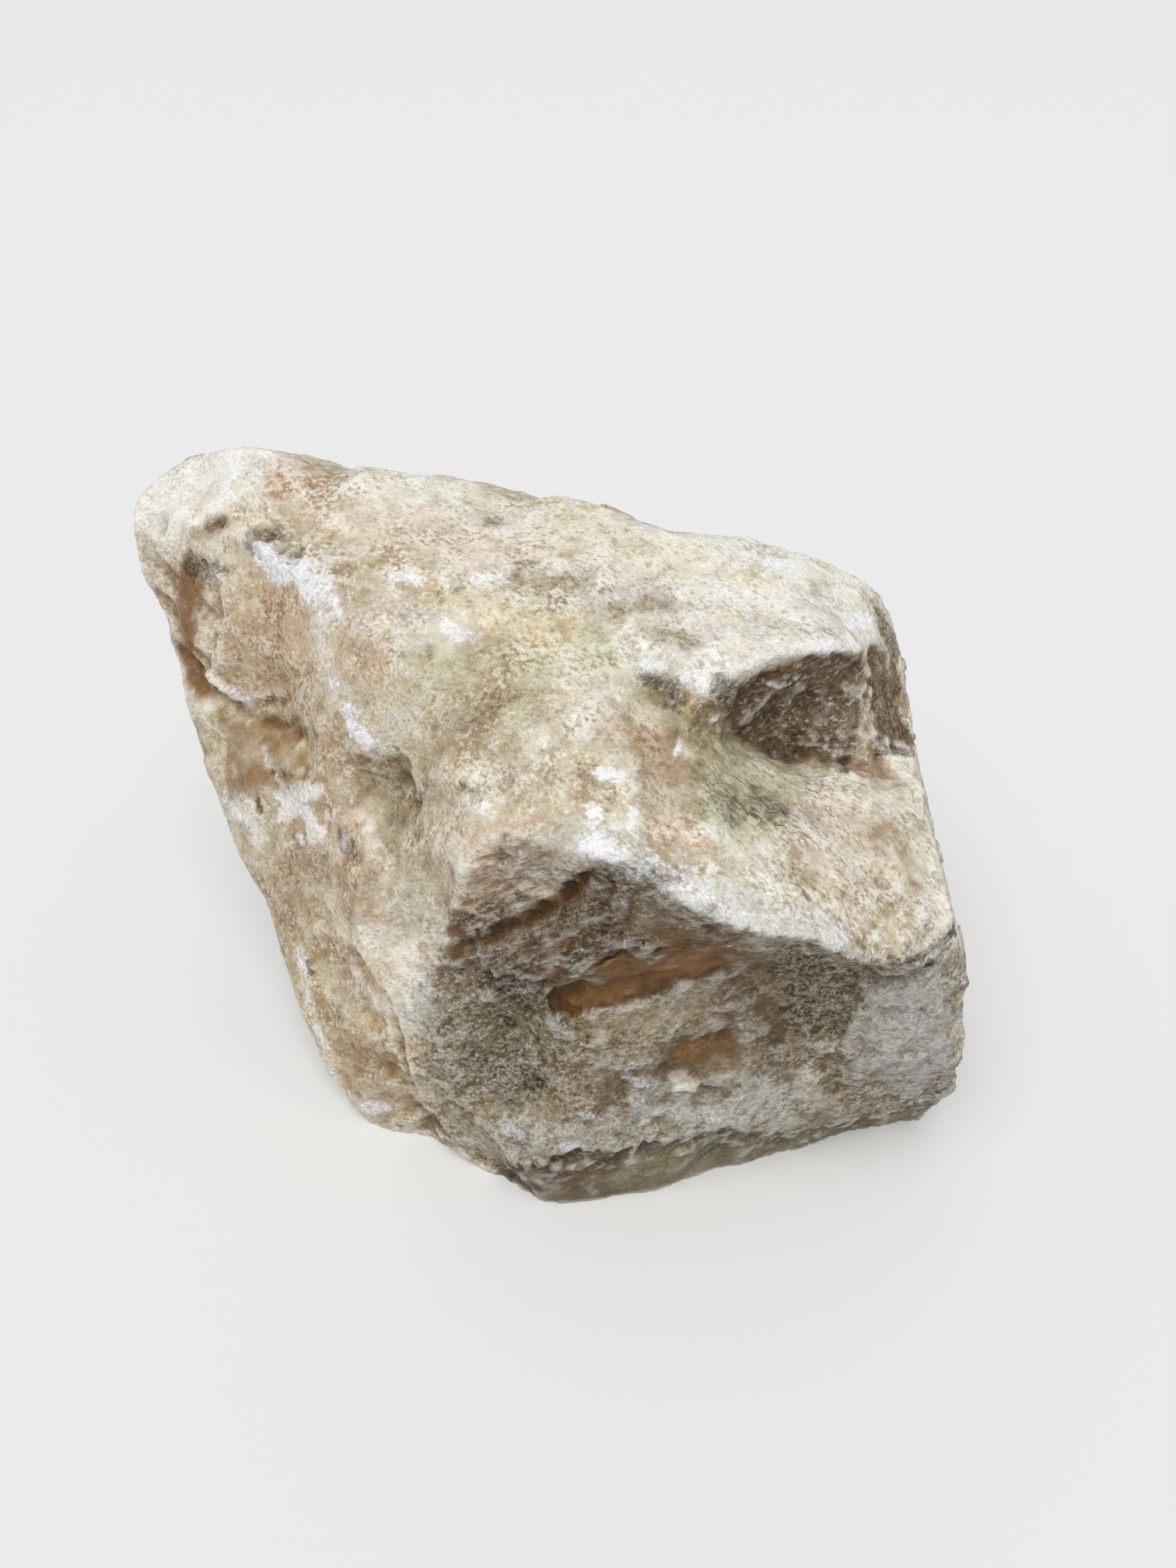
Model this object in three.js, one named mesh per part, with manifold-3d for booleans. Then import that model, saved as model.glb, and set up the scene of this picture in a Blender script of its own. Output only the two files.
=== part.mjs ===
// Raw boulder of honeycomb calcite, about 28 cm wide: one natural block, broken on every side.
// Millimetres, +Z up, +X to the right and +Y to the back. The origin is on the ground,
// under the middle of the boulder's box, and the boulder stands on its flat resting face.
//
// The form is drawn as a finger would feel it: lines of points along its rims, ridges, ledges
// and hollows. The points are joined into facets, the facets are divided and softened between
// the keen edges, the surface is roughened, and a crease and a slit are cut into it. Last,
// the whole is moved sideways so that the origin is under the middle.
import * as THREE from "three";
import { ConvexHull } from "three/addons/math/ConvexHull.js";
import { ConvexGeometry } from "three/addons/geometries/ConvexGeometry.js";
import { ImprovedNoise } from "three/addons/math/ImprovedNoise.js";
import { mergeVertices } from "three/addons/utils/BufferGeometryUtils.js";
import Module from "manifold-3d";

// ---- Driving dimensions ------------------------------------------------------------------

const GROUND = 0; // height of the resting face
const SUNK = -3; // height of the underside points, before the resting face is cut at GROUND
const HEART = new THREE.Vector3(0, 30, 85); // the whole surface can be seen from here
const DIVISIONS = 2; // each facet becomes 4 ** DIVISIONS triangles
const SOFTNESS = 0.75; // how far facets round off away from keen edges, 0 to 1
const FINEST = 0.3; // triangles that stand out less than this are merged, mm
const COLOUR = 0xcdbca2;

// Roughness of the broken surface: waves of these lengths and heights, in mm.
const ROUGHNESS = [
  { length: 34, height: 2.0 },
  { length: 15, height: 1.5 },
  { length: 8, height: 0.9 },
];

// ---- Lines of the form -------------------------------------------------------------------
// keen: 1 keeps a line as a hard edge, 0 lets it round off.

const lines = [
  {
    name: "far rim of the top, from the nose to the right shoulder",
    keen: 0.7,
    points: [
      [-117, 74, 207], [-103, 63, 214], [-89, 58, 214], [-75, 52, 210], [-60, 46, 213],
      [-42, 45, 210], [-25, 46, 210], [-13, 39, 207], [-4, 37, 206], [4, 35, 208], [14, 33, 207],
      [24, 27, 205], [35, 21, 203], [48, 20, 202], [60, 19, 202], [72, 20, 199], [84, 18, 195],
      [96, 15, 189],
    ],
  },
  {
    name: "nose, the blunt top left corner",
    keen: 0.7,
    points: [[-127, 76, 204], [-134, 75, 200], [-140, 69, 194], [-142, 62, 189]],
  },
  {
    name: "front edge of the nose",
    keen: 0.6,
    points: [[-138, 59, 184], [-129, 55, 186], [-119, 49, 189], [-109, 42, 192], [-99, 35, 195]],
  },
  {
    name: "left rim, leaning out from the foot to the nose",
    keen: 0.7,
    points: [
      [-142, 60, 178], [-141, 58, 169], [-138, 56, 160], [-136, 54, 151], [-133, 50, 140],
      [-132, 46, 127], [-130, 42, 116], [-126, 37, 105], [-124, 32, 94], [-122, 27, 84],
      [-118, 22, 75], [-111, 15, 67], [-103, 6, 56], [-97, -6, 42], [-92, -17, 31],
      [-83, -31, 17], [-76, -38, 8],
    ],
  },
  {
    name: "right rim, from the shoulder down to the right foot",
    keen: 0.7,
    points: [
      [102, 14, 184], [107, 14, 175], [111, 13, 166], [114, 11, 158], [116, 6, 149],
      [116, -3, 143], [114, -14, 142], [113, -25, 141], [113, -35, 137], [114, -48, 130],
      [115, -60, 125], [118, -68, 115], [123, -69, 101], [126, -66, 84], [130, -64, 62],
      [134, -57, 44], [136, -46, 16],
    ],
  },
  {
    name: "front foot, the line where the boulder meets the ground",
    keen: 0.9,
    points: [
      [-63, -41, SUNK], [-44, -43, SUNK], [-28, -52, SUNK], [-19, -63, SUNK], [-4, -72, SUNK],
      [16, -70, SUNK], [37, -67, SUNK], [62, -57, SUNK], [88, -48, SUNK], [112, -42, SUNK],
      [132, -37, SUNK],
    ],
  },
  {
    name: "left ridge, dusted white, from the nose down between the top and the left face",
    keen: 0.6,
    points: [
      [-90, 27, 197], [-79, 18, 193], [-69, 8, 188], [-69, 2, 171],
      [-74, 4, 161], [-76, 4, 150], [-73, -2, 139], [-66, -10, 120], [-57, -25, 116],
    ],
  },
  {
    name: "arched rim of the flake scar beside the left ridge",
    keen: 0.8,
    points: [
      [-64, -9, 143], [-56, -15, 142], [-46, -20, 150], [-39, -23, 148], [-37, -28, 137],
      [-40, -34, 126],
    ],
  },
  {
    name: "floor of the flake scar",
    keen: 0.2,
    points: [[-53, -10, 133], [-47, -15, 136], [-46, -22, 123]],
  },
  {
    name: "front left arris, from mid height down to the ground",
    keen: 0.9,
    points: [
      [-52, -34, 106], [-62, -33, 92], [-66, -30, 80], [-56, -41, 68], [-51, -46, 57],
      [-47, -49, 36], [-42, -52, 22], [-37, -53, 8],
    ],
  },
  {
    name: "left edge of the front face",
    keen: 0.6,
    points: [
      [-48, -38, 108], [-31, -49, 106], [-38, -51, 82], [-36, -54, 60], [-27, -60, 34],
      [-16, -64, 12],
    ],
  },
  {
    name: "brow over the front face",
    keen: 0.9,
    points: [
      [-25, -54, 132], [-18, -55, 143], [-11, -57, 149], [2, -64, 151], [13, -72, 152],
      [24, -76, 152], [33, -81, 148], [42, -85, 144], [52, -88, 141], [64, -88, 138],
      [74, -87, 135], [83, -86, 128], [92, -84, 122], [103, -79, 121], [114, -71, 119],
    ],
  },
  {
    name: "striped shoulder under the left end of the brow",
    keen: 0.3,
    points: [[-24, -52, 112], [-14, -55, 130], [0, -61, 141]],
  },
  {
    name: "slanting groove under the shoulder",
    keen: 0.5,
    points: [[-20, -56, 101], [-12, -57, 109], [-4, -58, 117], [9, -63, 135]],
  },
  {
    name: "slanting rib below the groove",
    keen: 0.7,
    points: [[-15, -64, 98], [-8, -65, 105], [1, -66, 114], [9, -67, 123], [15, -69, 132], [25, -75, 145]],
  },
  {
    name: "lip over the honey-coloured recess",
    keen: 0.9,
    points: [
      [-1, -67, 101], [10, -69, 106], [20, -71, 111], [32, -74, 118], [44, -77, 124],
      [55, -80, 128],
    ],
  },
  {
    name: "back of the honey-coloured recess",
    keen: 0.4,
    points: [[-9, -54, 80], [3, -57, 85], [14, -59, 90], [28, -60, 96], [42, -63, 103], [55, -68, 112]],
  },
  {
    name: "ledge under the honey-coloured recess",
    keen: 0.8,
    points: [[-1, -64, 83], [12, -64, 86], [24, -64, 88], [36, -64, 90], [48, -62, 93], [60, -60, 98]],
  },
  {
    name: "lower front face",
    keen: 0.2,
    points: [
      [-2, -63, 62], [18, -66, 66], [40, -64, 64], [61, -64, 68], [84, -63, 62],
      [106, -66, 60], [30, -69, 50], [54, -68, 48], [6, -69, 46], [78, -66, 48],
    ],
  },
  {
    name: "right corner block of the front face",
    keen: 0.3,
    points: [[96, -71, 98], [108, -73, 88], [95, -69, 78], [114, -71, 72], [108, -75, 106]],
  },
  {
    name: "crumbling hollow, low on the left of the front face",
    keen: 0.2,
    points: [[-23, -51, 74], [-12, -53, 68], [-20, -54, 54], [-8, -57, 48]],
  },
  {
    name: "dark hollow beside the right corner block",
    keen: 0.2,
    points: [[80, -60, 78], [82, -62, 96], [76, -64, 110], [68, -62, 84]],
  },
  {
    name: "upper edge of the under-bevel",
    keen: 0.7,
    points: [
      [-12, -75, 22], [0, -78, 28], [11, -79, 33], [23, -77, 35], [35, -75, 36], [48, -72, 34],
      [61, -69, 33], [74, -66, 33], [87, -63, 34], [100, -60, 35], [112, -57, 36], [127, -55, 38],
    ],
  },
  {
    name: "rim of the shoulder block over the notch",
    keen: 0.95,
    points: [
      [42, -36, 173], [46, -34, 180], [53, -31, 184], [60, -28, 186], [67, -25, 187],
      [75, -23, 187], [83, -20, 185], [90, -14, 181], [94, -6, 178], [97, 1, 178], [100, 9, 180],
    ],
  },
  {
    name: "dark face of the notch",
    keen: 0.3,
    points: [[55, -22, 171], [67, -15, 166], [79, -10, 165], [87, -7, 166], [82, -10, 152], [69, -14, 156]],
  },
  {
    name: "floor line of the notch",
    keen: 0.8,
    points: [
      [43, -29, 164], [50, -25, 160], [56, -21, 155], [62, -18, 150], [69, -16, 146],
      [76, -15, 143], [83, -15, 141], [89, -17, 140],
    ],
  },
  {
    name: "left edge of the rib at the right end of the notch",
    keen: 0.8,
    points: [[92, -12, 171], [91, -16, 163], [90, -19, 154], [91, -23, 146]],
  },
  {
    name: "right edge of the rib at the right end of the notch",
    keen: 0.6,
    points: [[97, -5, 172], [96, -12, 164], [97, -16, 155], [104, -17, 145], [109, -20, 137]],
  },
  {
    name: "brown recess in the right side, behind the rib",
    keen: 0.3,
    points: [[101, 4, 169], [103, 1, 161], [104, -4, 153], [109, -4, 147]],
  },
  {
    name: "low shelf between the notch and the brow",
    keen: 0,
    points: [
      [54, -41, 156], [66, -60, 148], [77, -48, 147], [86, -62, 142], [44, -66, 153],
      [98, -60, 135], [103, -30, 145], [70, -34, 149],
    ],
  },
  {
    name: "slit in the top, running into the left end of the notch",
    keen: 0.6,
    points: [[30, -29, 175], [37, -31, 172]],
  },
  {
    name: "top and the slope that leads down from it to the brow",
    keen: 0,
    points: [
      [21, -47, 170], [15, -31, 180], [0, -44, 169], [-18, -37, 164], [-22, -47, 152],
      [-31, -28, 172], [-45, -18, 180], [-58, 0, 189], [-52, 17, 200], [-33, 10, 201],
      [-14, -6, 195], [8, -4, 195], [26, -8, 193], [44, -13, 191], [62, -6, 192],
      [81, -3, 188], [34, -22, 187], [-5, -24, 186], [-22, -14, 189], [-72, 22, 198],
      [-73, 36, 206], [-49, 30, 206], [36, -48, 161], [5, -58, 160], [-37, -24, 162],
      [8, 14, 203], [40, 8, 199], [-97, 48, 204], [-115, 62, 202], [-128, 66, 196], [-136, 65, 191],
    ],
  },
  {
    name: "pit behind the left ridge",
    keen: 0.2,
    points: [[-83, 27, 194], [-88, 31, 196]],
  },
  {
    name: "keen right bank of the long groove down the left face",
    keen: 0.9,
    points: [[-109, 40, 182], [-110, 38, 173], [-112, 37, 162], [-115, 36, 150], [-117, 35, 138]],
  },
  {
    name: "bed of the long groove down the left face",
    keen: 0.3,
    points: [[-118, 56, 177], [-120, 54, 165], [-122, 52, 154], [-124, 48, 142], [-124, 43, 130]],
  },
  {
    name: "left bank of the long groove down the left face",
    keen: 0.4,
    points: [[-130, 55, 174], [-130, 52, 163], [-130, 48, 150]],
  },
  {
    name: "facet of the left face beside the long groove",
    keen: 0.3,
    points: [[-93, 27, 179], [-97, 25, 164], [-85, 16, 156], [-98, 28, 148]],
  },
  {
    name: "lower edge of that facet, overhanging the crease",
    keen: 0.8,
    points: [[-105, 33, 136], [-95, 28, 135], [-86, 20, 137], [-79, 8, 141]],
  },
  {
    name: "crease under the facet",
    keen: 0.5,
    points: [[-107, 36, 128], [-97, 33, 128], [-88, 25, 130], [-80, 13, 132]],
  },
  {
    name: "honey-stained lower facet of the left face",
    keen: 0.2,
    points: [
      [-108, 25, 116], [-95, 15, 120], [-104, 16, 100], [-81, 3, 121], [-88, 4, 100],
      [-71, -11, 109], [-97, 3, 80], [-83, -8, 82], [-74, -20, 76], [-86, -14, 59],
      [-72, -28, 54], [-70, -33, 32],
    ],
  },
  {
    name: "back edge of the top",
    keen: 0.7,
    points: [
      [-132, 86, 195], [-108, 95, 198], [-72, 97, 192], [-34, 90, 190], [6, 78, 187],
      [44, 62, 181], [78, 46, 176], [98, 31, 174],
    ],
  },
  {
    name: "lobe of the top beside the left ridge",
    keen: 0.3,
    points: [[-71, 15, 197], [-57, 12, 200], [-46, 7, 199]],
  },
  {
    name: "left back arris",
    keen: 0.8,
    points: [
      [-141, 80, 178], [-138, 90, 152], [-127, 93, 120], [-113, 84, 90], [-102, 70, 60],
      [-90, 56, 30],
    ],
  },
  {
    name: "left end, between the left rim and the left back arris",
    keen: 0.2,
    points: [[-140, 72, 166], [-132, 68, 128], [-120, 54, 88], [-106, 34, 54], [-92, 12, 24]],
  },
  {
    name: "step across the left part of the back",
    keen: 0.8,
    points: [[-104, 96, 136], [-80, 99, 130], [-54, 101, 126], [-28, 100, 128]],
  },
  {
    name: "left part of the back, above and below the step",
    keen: 0.2,
    points: [
      [-94, 99, 166], [-52, 97, 162], [-92, 86, 116], [-64, 88, 108], [-34, 92, 108],
      [-78, 84, 70], [-46, 88, 62],
    ],
  },
  {
    name: "back arris",
    keen: 0.8,
    points: [[-8, 94, 172], [2, 101, 142], [8, 104, 112], [14, 101, 76], [18, 96, 40]],
  },
  {
    name: "right part of the back",
    keen: 0.2,
    points: [[44, 78, 150], [84, 54, 146], [52, 86, 104], [94, 60, 98], [60, 84, 56], [100, 56, 46]],
  },
  {
    name: "right back arris",
    keen: 0.8,
    points: [[108, 27, 166], [117, 32, 140], [126, 30, 110], [132, 26, 76], [134, 22, 40]],
  },
  {
    name: "right face",
    keen: 0.2,
    points: [[118, 10, 138], [126, -8, 106], [129, -30, 92], [133, -24, 66], [133, -8, 40], [136, -26, 18]],
  },
  {
    name: "back under-bevel",
    keen: 0.5,
    points: [
      [-92, 14, 16], [-82, 52, 20], [-44, 80, 26], [16, 92, 22], [62, 80, 20], [102, 52, 20],
      [132, 16, 18],
    ],
  },
  {
    name: "back foot",
    keen: 0.7,
    points: [
      [-70, -18, SUNK], [-78, 12, SUNK], [-66, 42, SUNK], [-34, 64, SUNK], [10, 78, SUNK],
      [48, 72, SUNK], [84, 54, SUNK], [112, 30, SUNK], [130, 0, SUNK],
    ],
  },
  {
    name: "underside",
    keen: 0,
    points: [[-30, 8, SUNK], [30, 0, SUNK], [90, -4, SUNK], [10, 44, SUNK]],
  },
];

// ---- From lines to a rough skin ----------------------------------------------------------

// The skin is a list of vertices, each with a place and a keenness, and a list of triangles.
function joinLines(drawn) {
  const vertices = drawn.flatMap(({ keen, points }) =>
    points.map((p) => ({ place: new THREE.Vector3(...p), keen })),
  );
  // Seen from the heart, the points cover a sphere, and its hull joins each to its neighbours.
  const seen = vertices.map(({ place }) => place.clone().sub(HEART).normalize());
  const index = new Map(seen.map((direction, i) => [direction, i]));
  const triangles = new ConvexHull().setFromPoints(seen).faces.map((face) => {
    const corners = [face.edge, face.edge.next, face.edge.next.next];
    return corners.map((edge) => index.get(edge.head().point));
  });
  return { vertices, triangles };
}

const edgeKey = (a, b) => (a < b ? `${a} ${b}` : `${b} ${a}`);

// Which vertices stand across each edge, and which are joined to each vertex.
function neighbourhood({ vertices, triangles }) {
  const across = new Map();
  const joined = vertices.map(() => new Set());
  for (const [a, b, c] of triangles) {
    for (const [i, j, k] of [[a, b, c], [b, c, a], [c, a, b]]) {
      const key = edgeKey(i, j);
      across.set(key, [...(across.get(key) ?? []), k]);
      joined[i].add(j);
      joined[j].add(i);
    }
  }
  return { across, joined };
}

function average(places) {
  const sum = new THREE.Vector3();
  for (const place of places) {
    sum.add(place);
  }
  return sum.divideScalar(places.length);
}

// One round of Loop's subdivision, held back towards the flat facets by each line's keenness.
function divide(skin) {
  const { across, joined } = neighbourhood(skin);
  const { vertices, triangles } = skin;
  const moved = vertices.map(({ place, keen }, i) => {
    const around = average([...joined[i]].map((j) => vertices[j].place));
    return { place: place.clone().lerp(around, 0.375 * SOFTNESS * (1 - keen)), keen };
  });
  const middle = new Map();
  for (const [key, opposite] of across) {
    const [a, b] = key.split(" ").map(Number);
    const keen = (vertices[a].keen + vertices[b].keen) / 2;
    const place = average([vertices[a].place, vertices[b].place]);
    const aside = average(opposite.map((i) => vertices[i].place));
    place.lerp(aside, 0.25 * SOFTNESS * (1 - keen));
    middle.set(key, moved.push({ place, keen }) - 1);
  }
  const divided = triangles.flatMap(([a, b, c]) => {
    const [ab, bc, ca] = [[a, b], [b, c], [c, a]].map((e) => middle.get(edgeKey(...e)));
    return [[a, ab, ca], [ab, b, bc], [ca, bc, c], [ab, bc, ca]];
  });
  return { vertices: moved, triangles: divided };
}

function geometryOf({ vertices, triangles }) {
  const places = vertices.flatMap(({ place }) => place.toArray());
  return new THREE.BufferGeometry()
    .setAttribute("position", new THREE.Float32BufferAttribute(places, 3))
    .setIndex(triangles.flat());
}

// Pushes each vertex in or out along its normal by waves of noise.
function roughen(geometry) {
  geometry.computeVertexNormals();
  const noise = new ImprovedNoise();
  const { position, normal } = geometry.attributes;
  const place = new THREE.Vector3();
  const out = new THREE.Vector3();
  for (let i = 0; i < position.count; i++) {
    place.fromBufferAttribute(position, i);
    out.fromBufferAttribute(normal, i);
    const push = ROUGHNESS.reduce((sum, { length, height }) => {
      const p = place.clone().divideScalar(length).addScalar(height * 17);
      return sum + height * noise.noise(p.x, p.y, p.z);
    }, 0);
    place.addScaledVector(out, push);
    position.setXYZ(i, place.x, place.y, place.z);
  }
  return geometry;
}

// ---- Cracks and the resting face ---------------------------------------------------------

// Each crack is a wedge: its mouth runs along these points, and it narrows to nothing at depth.
const cracks = [
  {
    name: "slit under the right end of the brow",
    gape: 5,
    depth: 9,
    mouth: [[96, -75, 105], [103, -77, 110], [110, -76, 117]],
  },
  {
    name: "crease under the facet of the left face",
    gape: 4,
    depth: 6,
    mouth: [[-116, 30, 129], [-107, 29, 133], [-96, 24, 136]],
  },
];

const wasm = await Module();
wasm.setup();

function solidOf(geometry) {
  const bare = geometry.clone();
  bare.deleteAttribute("normal");
  bare.deleteAttribute("uv");
  const merged = mergeVertices(bare, 1e-4);
  return new wasm.Manifold(
    new wasm.Mesh({
      numProp: 3,
      vertProperties: new Float32Array(merged.attributes.position.array),
      triVerts: new Uint32Array(merged.index.array),
    }),
  );
}

// Everything below the resting face, as a block to take away.
function groundBlock() {
  const size = 400;
  const block = new THREE.BoxGeometry(size, size, size);
  return solidOf(block.translate(0, 0, GROUND - size / 2));
}

// The wedge-shaped solids of one crack, one for each stretch of its mouth.
function crackWedges({ mouth, gape, depth }) {
  const places = mouth.map((p) => new THREE.Vector3(...p));
  const inward = (p) => HEART.clone().sub(p).normalize();
  return places.slice(1).map((to, i) => {
    const from = places[i];
    const along = to.clone().sub(from).normalize();
    const corners = [from, to].flatMap((p) => {
      const across = along.clone().cross(inward(p)).normalize().multiplyScalar(gape);
      const outside = p.clone().addScaledVector(inward(p), -gape);
      const root = p.clone().addScaledVector(inward(p), depth);
      return [outside.clone().add(across), outside.clone().sub(across), root];
    });
    return solidOf(new ConvexGeometry(corners));
  });
}

// Moves a geometry sideways until the middle of its box is over the origin.
function centred(geometry) {
  geometry.computeBoundingBox();
  const middle = geometry.boundingBox.getCenter(new THREE.Vector3());
  return geometry.translate(-middle.x, -middle.y, 0);
}

function boulderGeometry() {
  let skin = joinLines(lines);
  for (let i = 0; i < DIVISIONS; i++) {
    skin = divide(skin);
  }
  const rough = solidOf(roughen(geometryOf(skin)));
  const cuts = [groundBlock(), ...cracks.flatMap(crackWedges)];
  const solid = rough.subtract(wasm.Manifold.union(cuts)).simplify(FINEST);
  const { vertProperties, triVerts } = solid.getMesh();
  const geometry = new THREE.BufferGeometry()
    .setAttribute("position", new THREE.BufferAttribute(new Float32Array(vertProperties), 3))
    .setIndex(new THREE.BufferAttribute(new Uint32Array(triVerts), 1));
  return centred(geometry);
}

// ---- The boulder -------------------------------------------------------------------------

const boulder = new THREE.Mesh(
  boulderGeometry(),
  new THREE.MeshStandardMaterial({ color: COLOUR, roughness: 0.85, metalness: 0 }),
);
boulder.name = "calcite_boulder";

const specimen = new THREE.Group();
specimen.add(boulder);

export default specimen;
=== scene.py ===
"""A rough boulder of honeycomb calcite, 28 cm across, standing on its own broken underside."""

import math

import bpy
import numpy as np
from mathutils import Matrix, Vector, noise
from mathutils.bvhtree import BVHTree
from mathutils.kdtree import KDTree


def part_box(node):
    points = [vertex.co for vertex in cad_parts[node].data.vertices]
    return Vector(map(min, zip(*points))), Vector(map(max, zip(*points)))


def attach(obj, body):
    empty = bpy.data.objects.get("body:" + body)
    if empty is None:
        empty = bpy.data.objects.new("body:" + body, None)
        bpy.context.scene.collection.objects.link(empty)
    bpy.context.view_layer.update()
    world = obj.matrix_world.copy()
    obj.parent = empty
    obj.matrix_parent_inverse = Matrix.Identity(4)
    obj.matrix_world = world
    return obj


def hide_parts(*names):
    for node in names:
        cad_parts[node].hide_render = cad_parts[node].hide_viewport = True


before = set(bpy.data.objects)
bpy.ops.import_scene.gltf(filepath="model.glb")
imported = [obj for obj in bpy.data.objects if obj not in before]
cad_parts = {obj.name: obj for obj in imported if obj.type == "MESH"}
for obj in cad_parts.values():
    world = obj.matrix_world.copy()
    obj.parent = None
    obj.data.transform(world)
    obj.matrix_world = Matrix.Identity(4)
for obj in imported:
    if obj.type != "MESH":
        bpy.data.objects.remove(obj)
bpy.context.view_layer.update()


# ---------------------------------------------------------------------------------------------
# The eye. The boulder stands on a bench and is looked down on at 36 degrees from close by.
# Marks on its near side are placed by where this eye sees them: x to the right and y down,
# in a frame 1512 wide and 2016 high.

FRAME_WIDE, FRAME_HIGH = 1512, 2016
FOCAL_LENGTH = 1515  # in the frame's own units
SENSOR = 36
EYE = np.array((15.4, -319.2, 350.0))
LOOKING_DOWN = math.radians(36)
METRE = 1000  # millimetres, in which the stone is worked

lens = bpy.data.cameras.new("eye")
lens.sensor_width = SENSOR
lens.lens = SENSOR * FOCAL_LENGTH / FRAME_HIGH
lens.dof.use_dof = False
eye = bpy.data.objects.new("eye", lens)
eye.location = EYE / METRE
eye.rotation_euler = (math.pi / 2 - LOOKING_DOWN, 0, 0)
bpy.context.scene.collection.objects.link(eye)
bpy.context.scene.camera = eye

RIGHTWARD = np.array((1, 0, 0))
UPWARD = np.array((0, math.sin(LOOKING_DOWN), math.cos(LOOKING_DOWN)))
AHEAD = np.array((0, math.cos(LOOKING_DOWN), -math.sin(LOOKING_DOWN)))


# ---------------------------------------------------------------------------------------------
# The broken block. One solid lump of calcite, snapped off the bed on every side. Its skin is a
# fine even mesh drawn tight over the block's faces and arrises, to carve the grain and chips in.

SKIN_STEP = 1.62
ARRIS_ANGLE = 0.55  # faces that meet at more than this many radians make a keen edge
ARRIS_STEP = 0.5
ARRIS_PULL = 0.45 * SKIN_STEP  # the skin snaps to an arris that is nearer than this
SAME_PLACE = 3  # decimals

broken_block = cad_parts["calcite_boulder"].data
stone = bpy.data.objects.new("calcite_stone", broken_block.copy())
bpy.context.scene.collection.objects.link(stone)
skinning = stone.modifiers.new("skin", "REMESH")
skinning.mode = "VOXEL"
skinning.voxel_size = SKIN_STEP / METRE
skinned = stone.evaluated_get(bpy.context.evaluated_depsgraph_get())
block = bpy.data.meshes.new_from_object(skinned)
stone.modifiers.clear()
stone.data = block
block.materials.clear()

count = len(block.vertices)
skin = np.empty(count * 3)
block.vertices.foreach_get("co", skin)
skin = skin.reshape(-1, 3) * METRE
edges = np.empty(len(block.edges) * 2, int)
block.edges.foreach_get("vertices", edges)
edges = edges.reshape(-1, 2)
one, other = edges[:, 0], edges[:, 1]
neighbours = np.bincount(edges.ravel(), minlength=count)

corners = [v.co * METRE for v in broken_block.vertices]
faces_by_edge = {}
for face in broken_block.polygons:
    ring = [tuple(round(x, SAME_PLACE) for x in corners[v]) for v in face.vertices]
    for edge in zip(ring, ring[1:] + ring[:1]):
        faces_by_edge.setdefault(frozenset(edge), []).append(face.normal)
arris_points = []
for edge, normals in faces_by_edge.items():
    if len(normals) == 2 and normals[0].angle(normals[1], 0) > ARRIS_ANGLE:
        start, end = (Vector(place) for place in edge)
        parts = max(1, round((end - start).length / ARRIS_STEP))
        arris_points += [start.lerp(end, k / parts) for k in range(parts + 1)]
arrises = KDTree(len(arris_points))
for i, place in enumerate(arris_points):
    arrises.insert(place, i)
arrises.balance()

broken_faces = BVHTree.FromPolygons(corners, [tuple(f.vertices) for f in broken_block.polygons])
for i, place in enumerate(skin):
    drawn = broken_faces.find_nearest(Vector(place))[0]
    arris, _, away = arrises.find(drawn)
    skin[i] = arris if away < ARRIS_PULL else drawn


def rubbed(values, times):
    """The values at the points of the skin, evened out with their neighbours' this many times."""
    values = values.reshape(count, -1)
    for _ in range(times):
        around = [
            np.bincount(one, v[other], count) + np.bincount(other, v[one], count)
            for v in values.T
        ]
        values = (values + np.array(around).T / neighbours[:, None]) / 2
    return values.squeeze()


def facing(points):
    """Moves the skin to these points, and gives the direction in which it faces at each."""
    block.vertices.foreach_set("co", (points / METRE).ravel())
    block.update()
    normals = np.empty(count * 3)
    block.vertex_normals.foreach_get("vector", normals)
    return normals.reshape(-1, 3)


skin = rubbed(skin, 1)
outward = facing(skin)
surface = BVHTree.FromPolygons(
    [Vector(p) for p in skin], [tuple(f.vertices) for f in block.polygons]
)
rise = np.zeros(count)


# ---------------------------------------------------------------------------------------------
# Marks on the skin. Stains, painted shade, chips and cracks are laid on the skin one by one, each as a stroke
# or a patch with a ragged edge. A stroke is given in millimetres to each side of its line.

SIGHT_STEP = 7  # in the frame's units
CLEAR_OF_SKIN = 1.5  # a line of sight starts this far off the skin
FAR_AWAY = 1e9
STROKE_EDGE = 0.7  # the share of a stroke's reach over which it fades
CLIFF_WANDER, CLIFF_JAG, CLIFF_EDGE = 12, 7, 6  # in the frame's units
LIP_SHARE = 0.15  # the top of a cliff stands up by this share of its height
LINE_END = 35  # a cliff dies away over this distance from its ends
EASING = 80  # how many times a place is rubbed to ease it
FAINTER, FINER = 0.9, 2.1  # how each octave of a cloud follows from the one before


def squeezed(along, stretch):
    """The skin's points, closer together along a line, so that what is made there is drawn out."""
    if along is None:
        return skin
    line = np.array(along) / np.linalg.norm(along)
    return skin - np.outer(skin @ line, line) * (1 - 1 / stretch)


def cloud(size, octaves=3, along=None, stretch=1):
    """Cloudy noise from about -1 to 1, in lumps of this many millimetres, drawn out along a line."""
    places = squeezed(along, stretch) / size
    return np.array([noise.fractal(Vector(p), FAINTER, FINER, octaves) for p in places])


wander = cloud(9, 4)
jag = cloud(3.5, 2)

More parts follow.
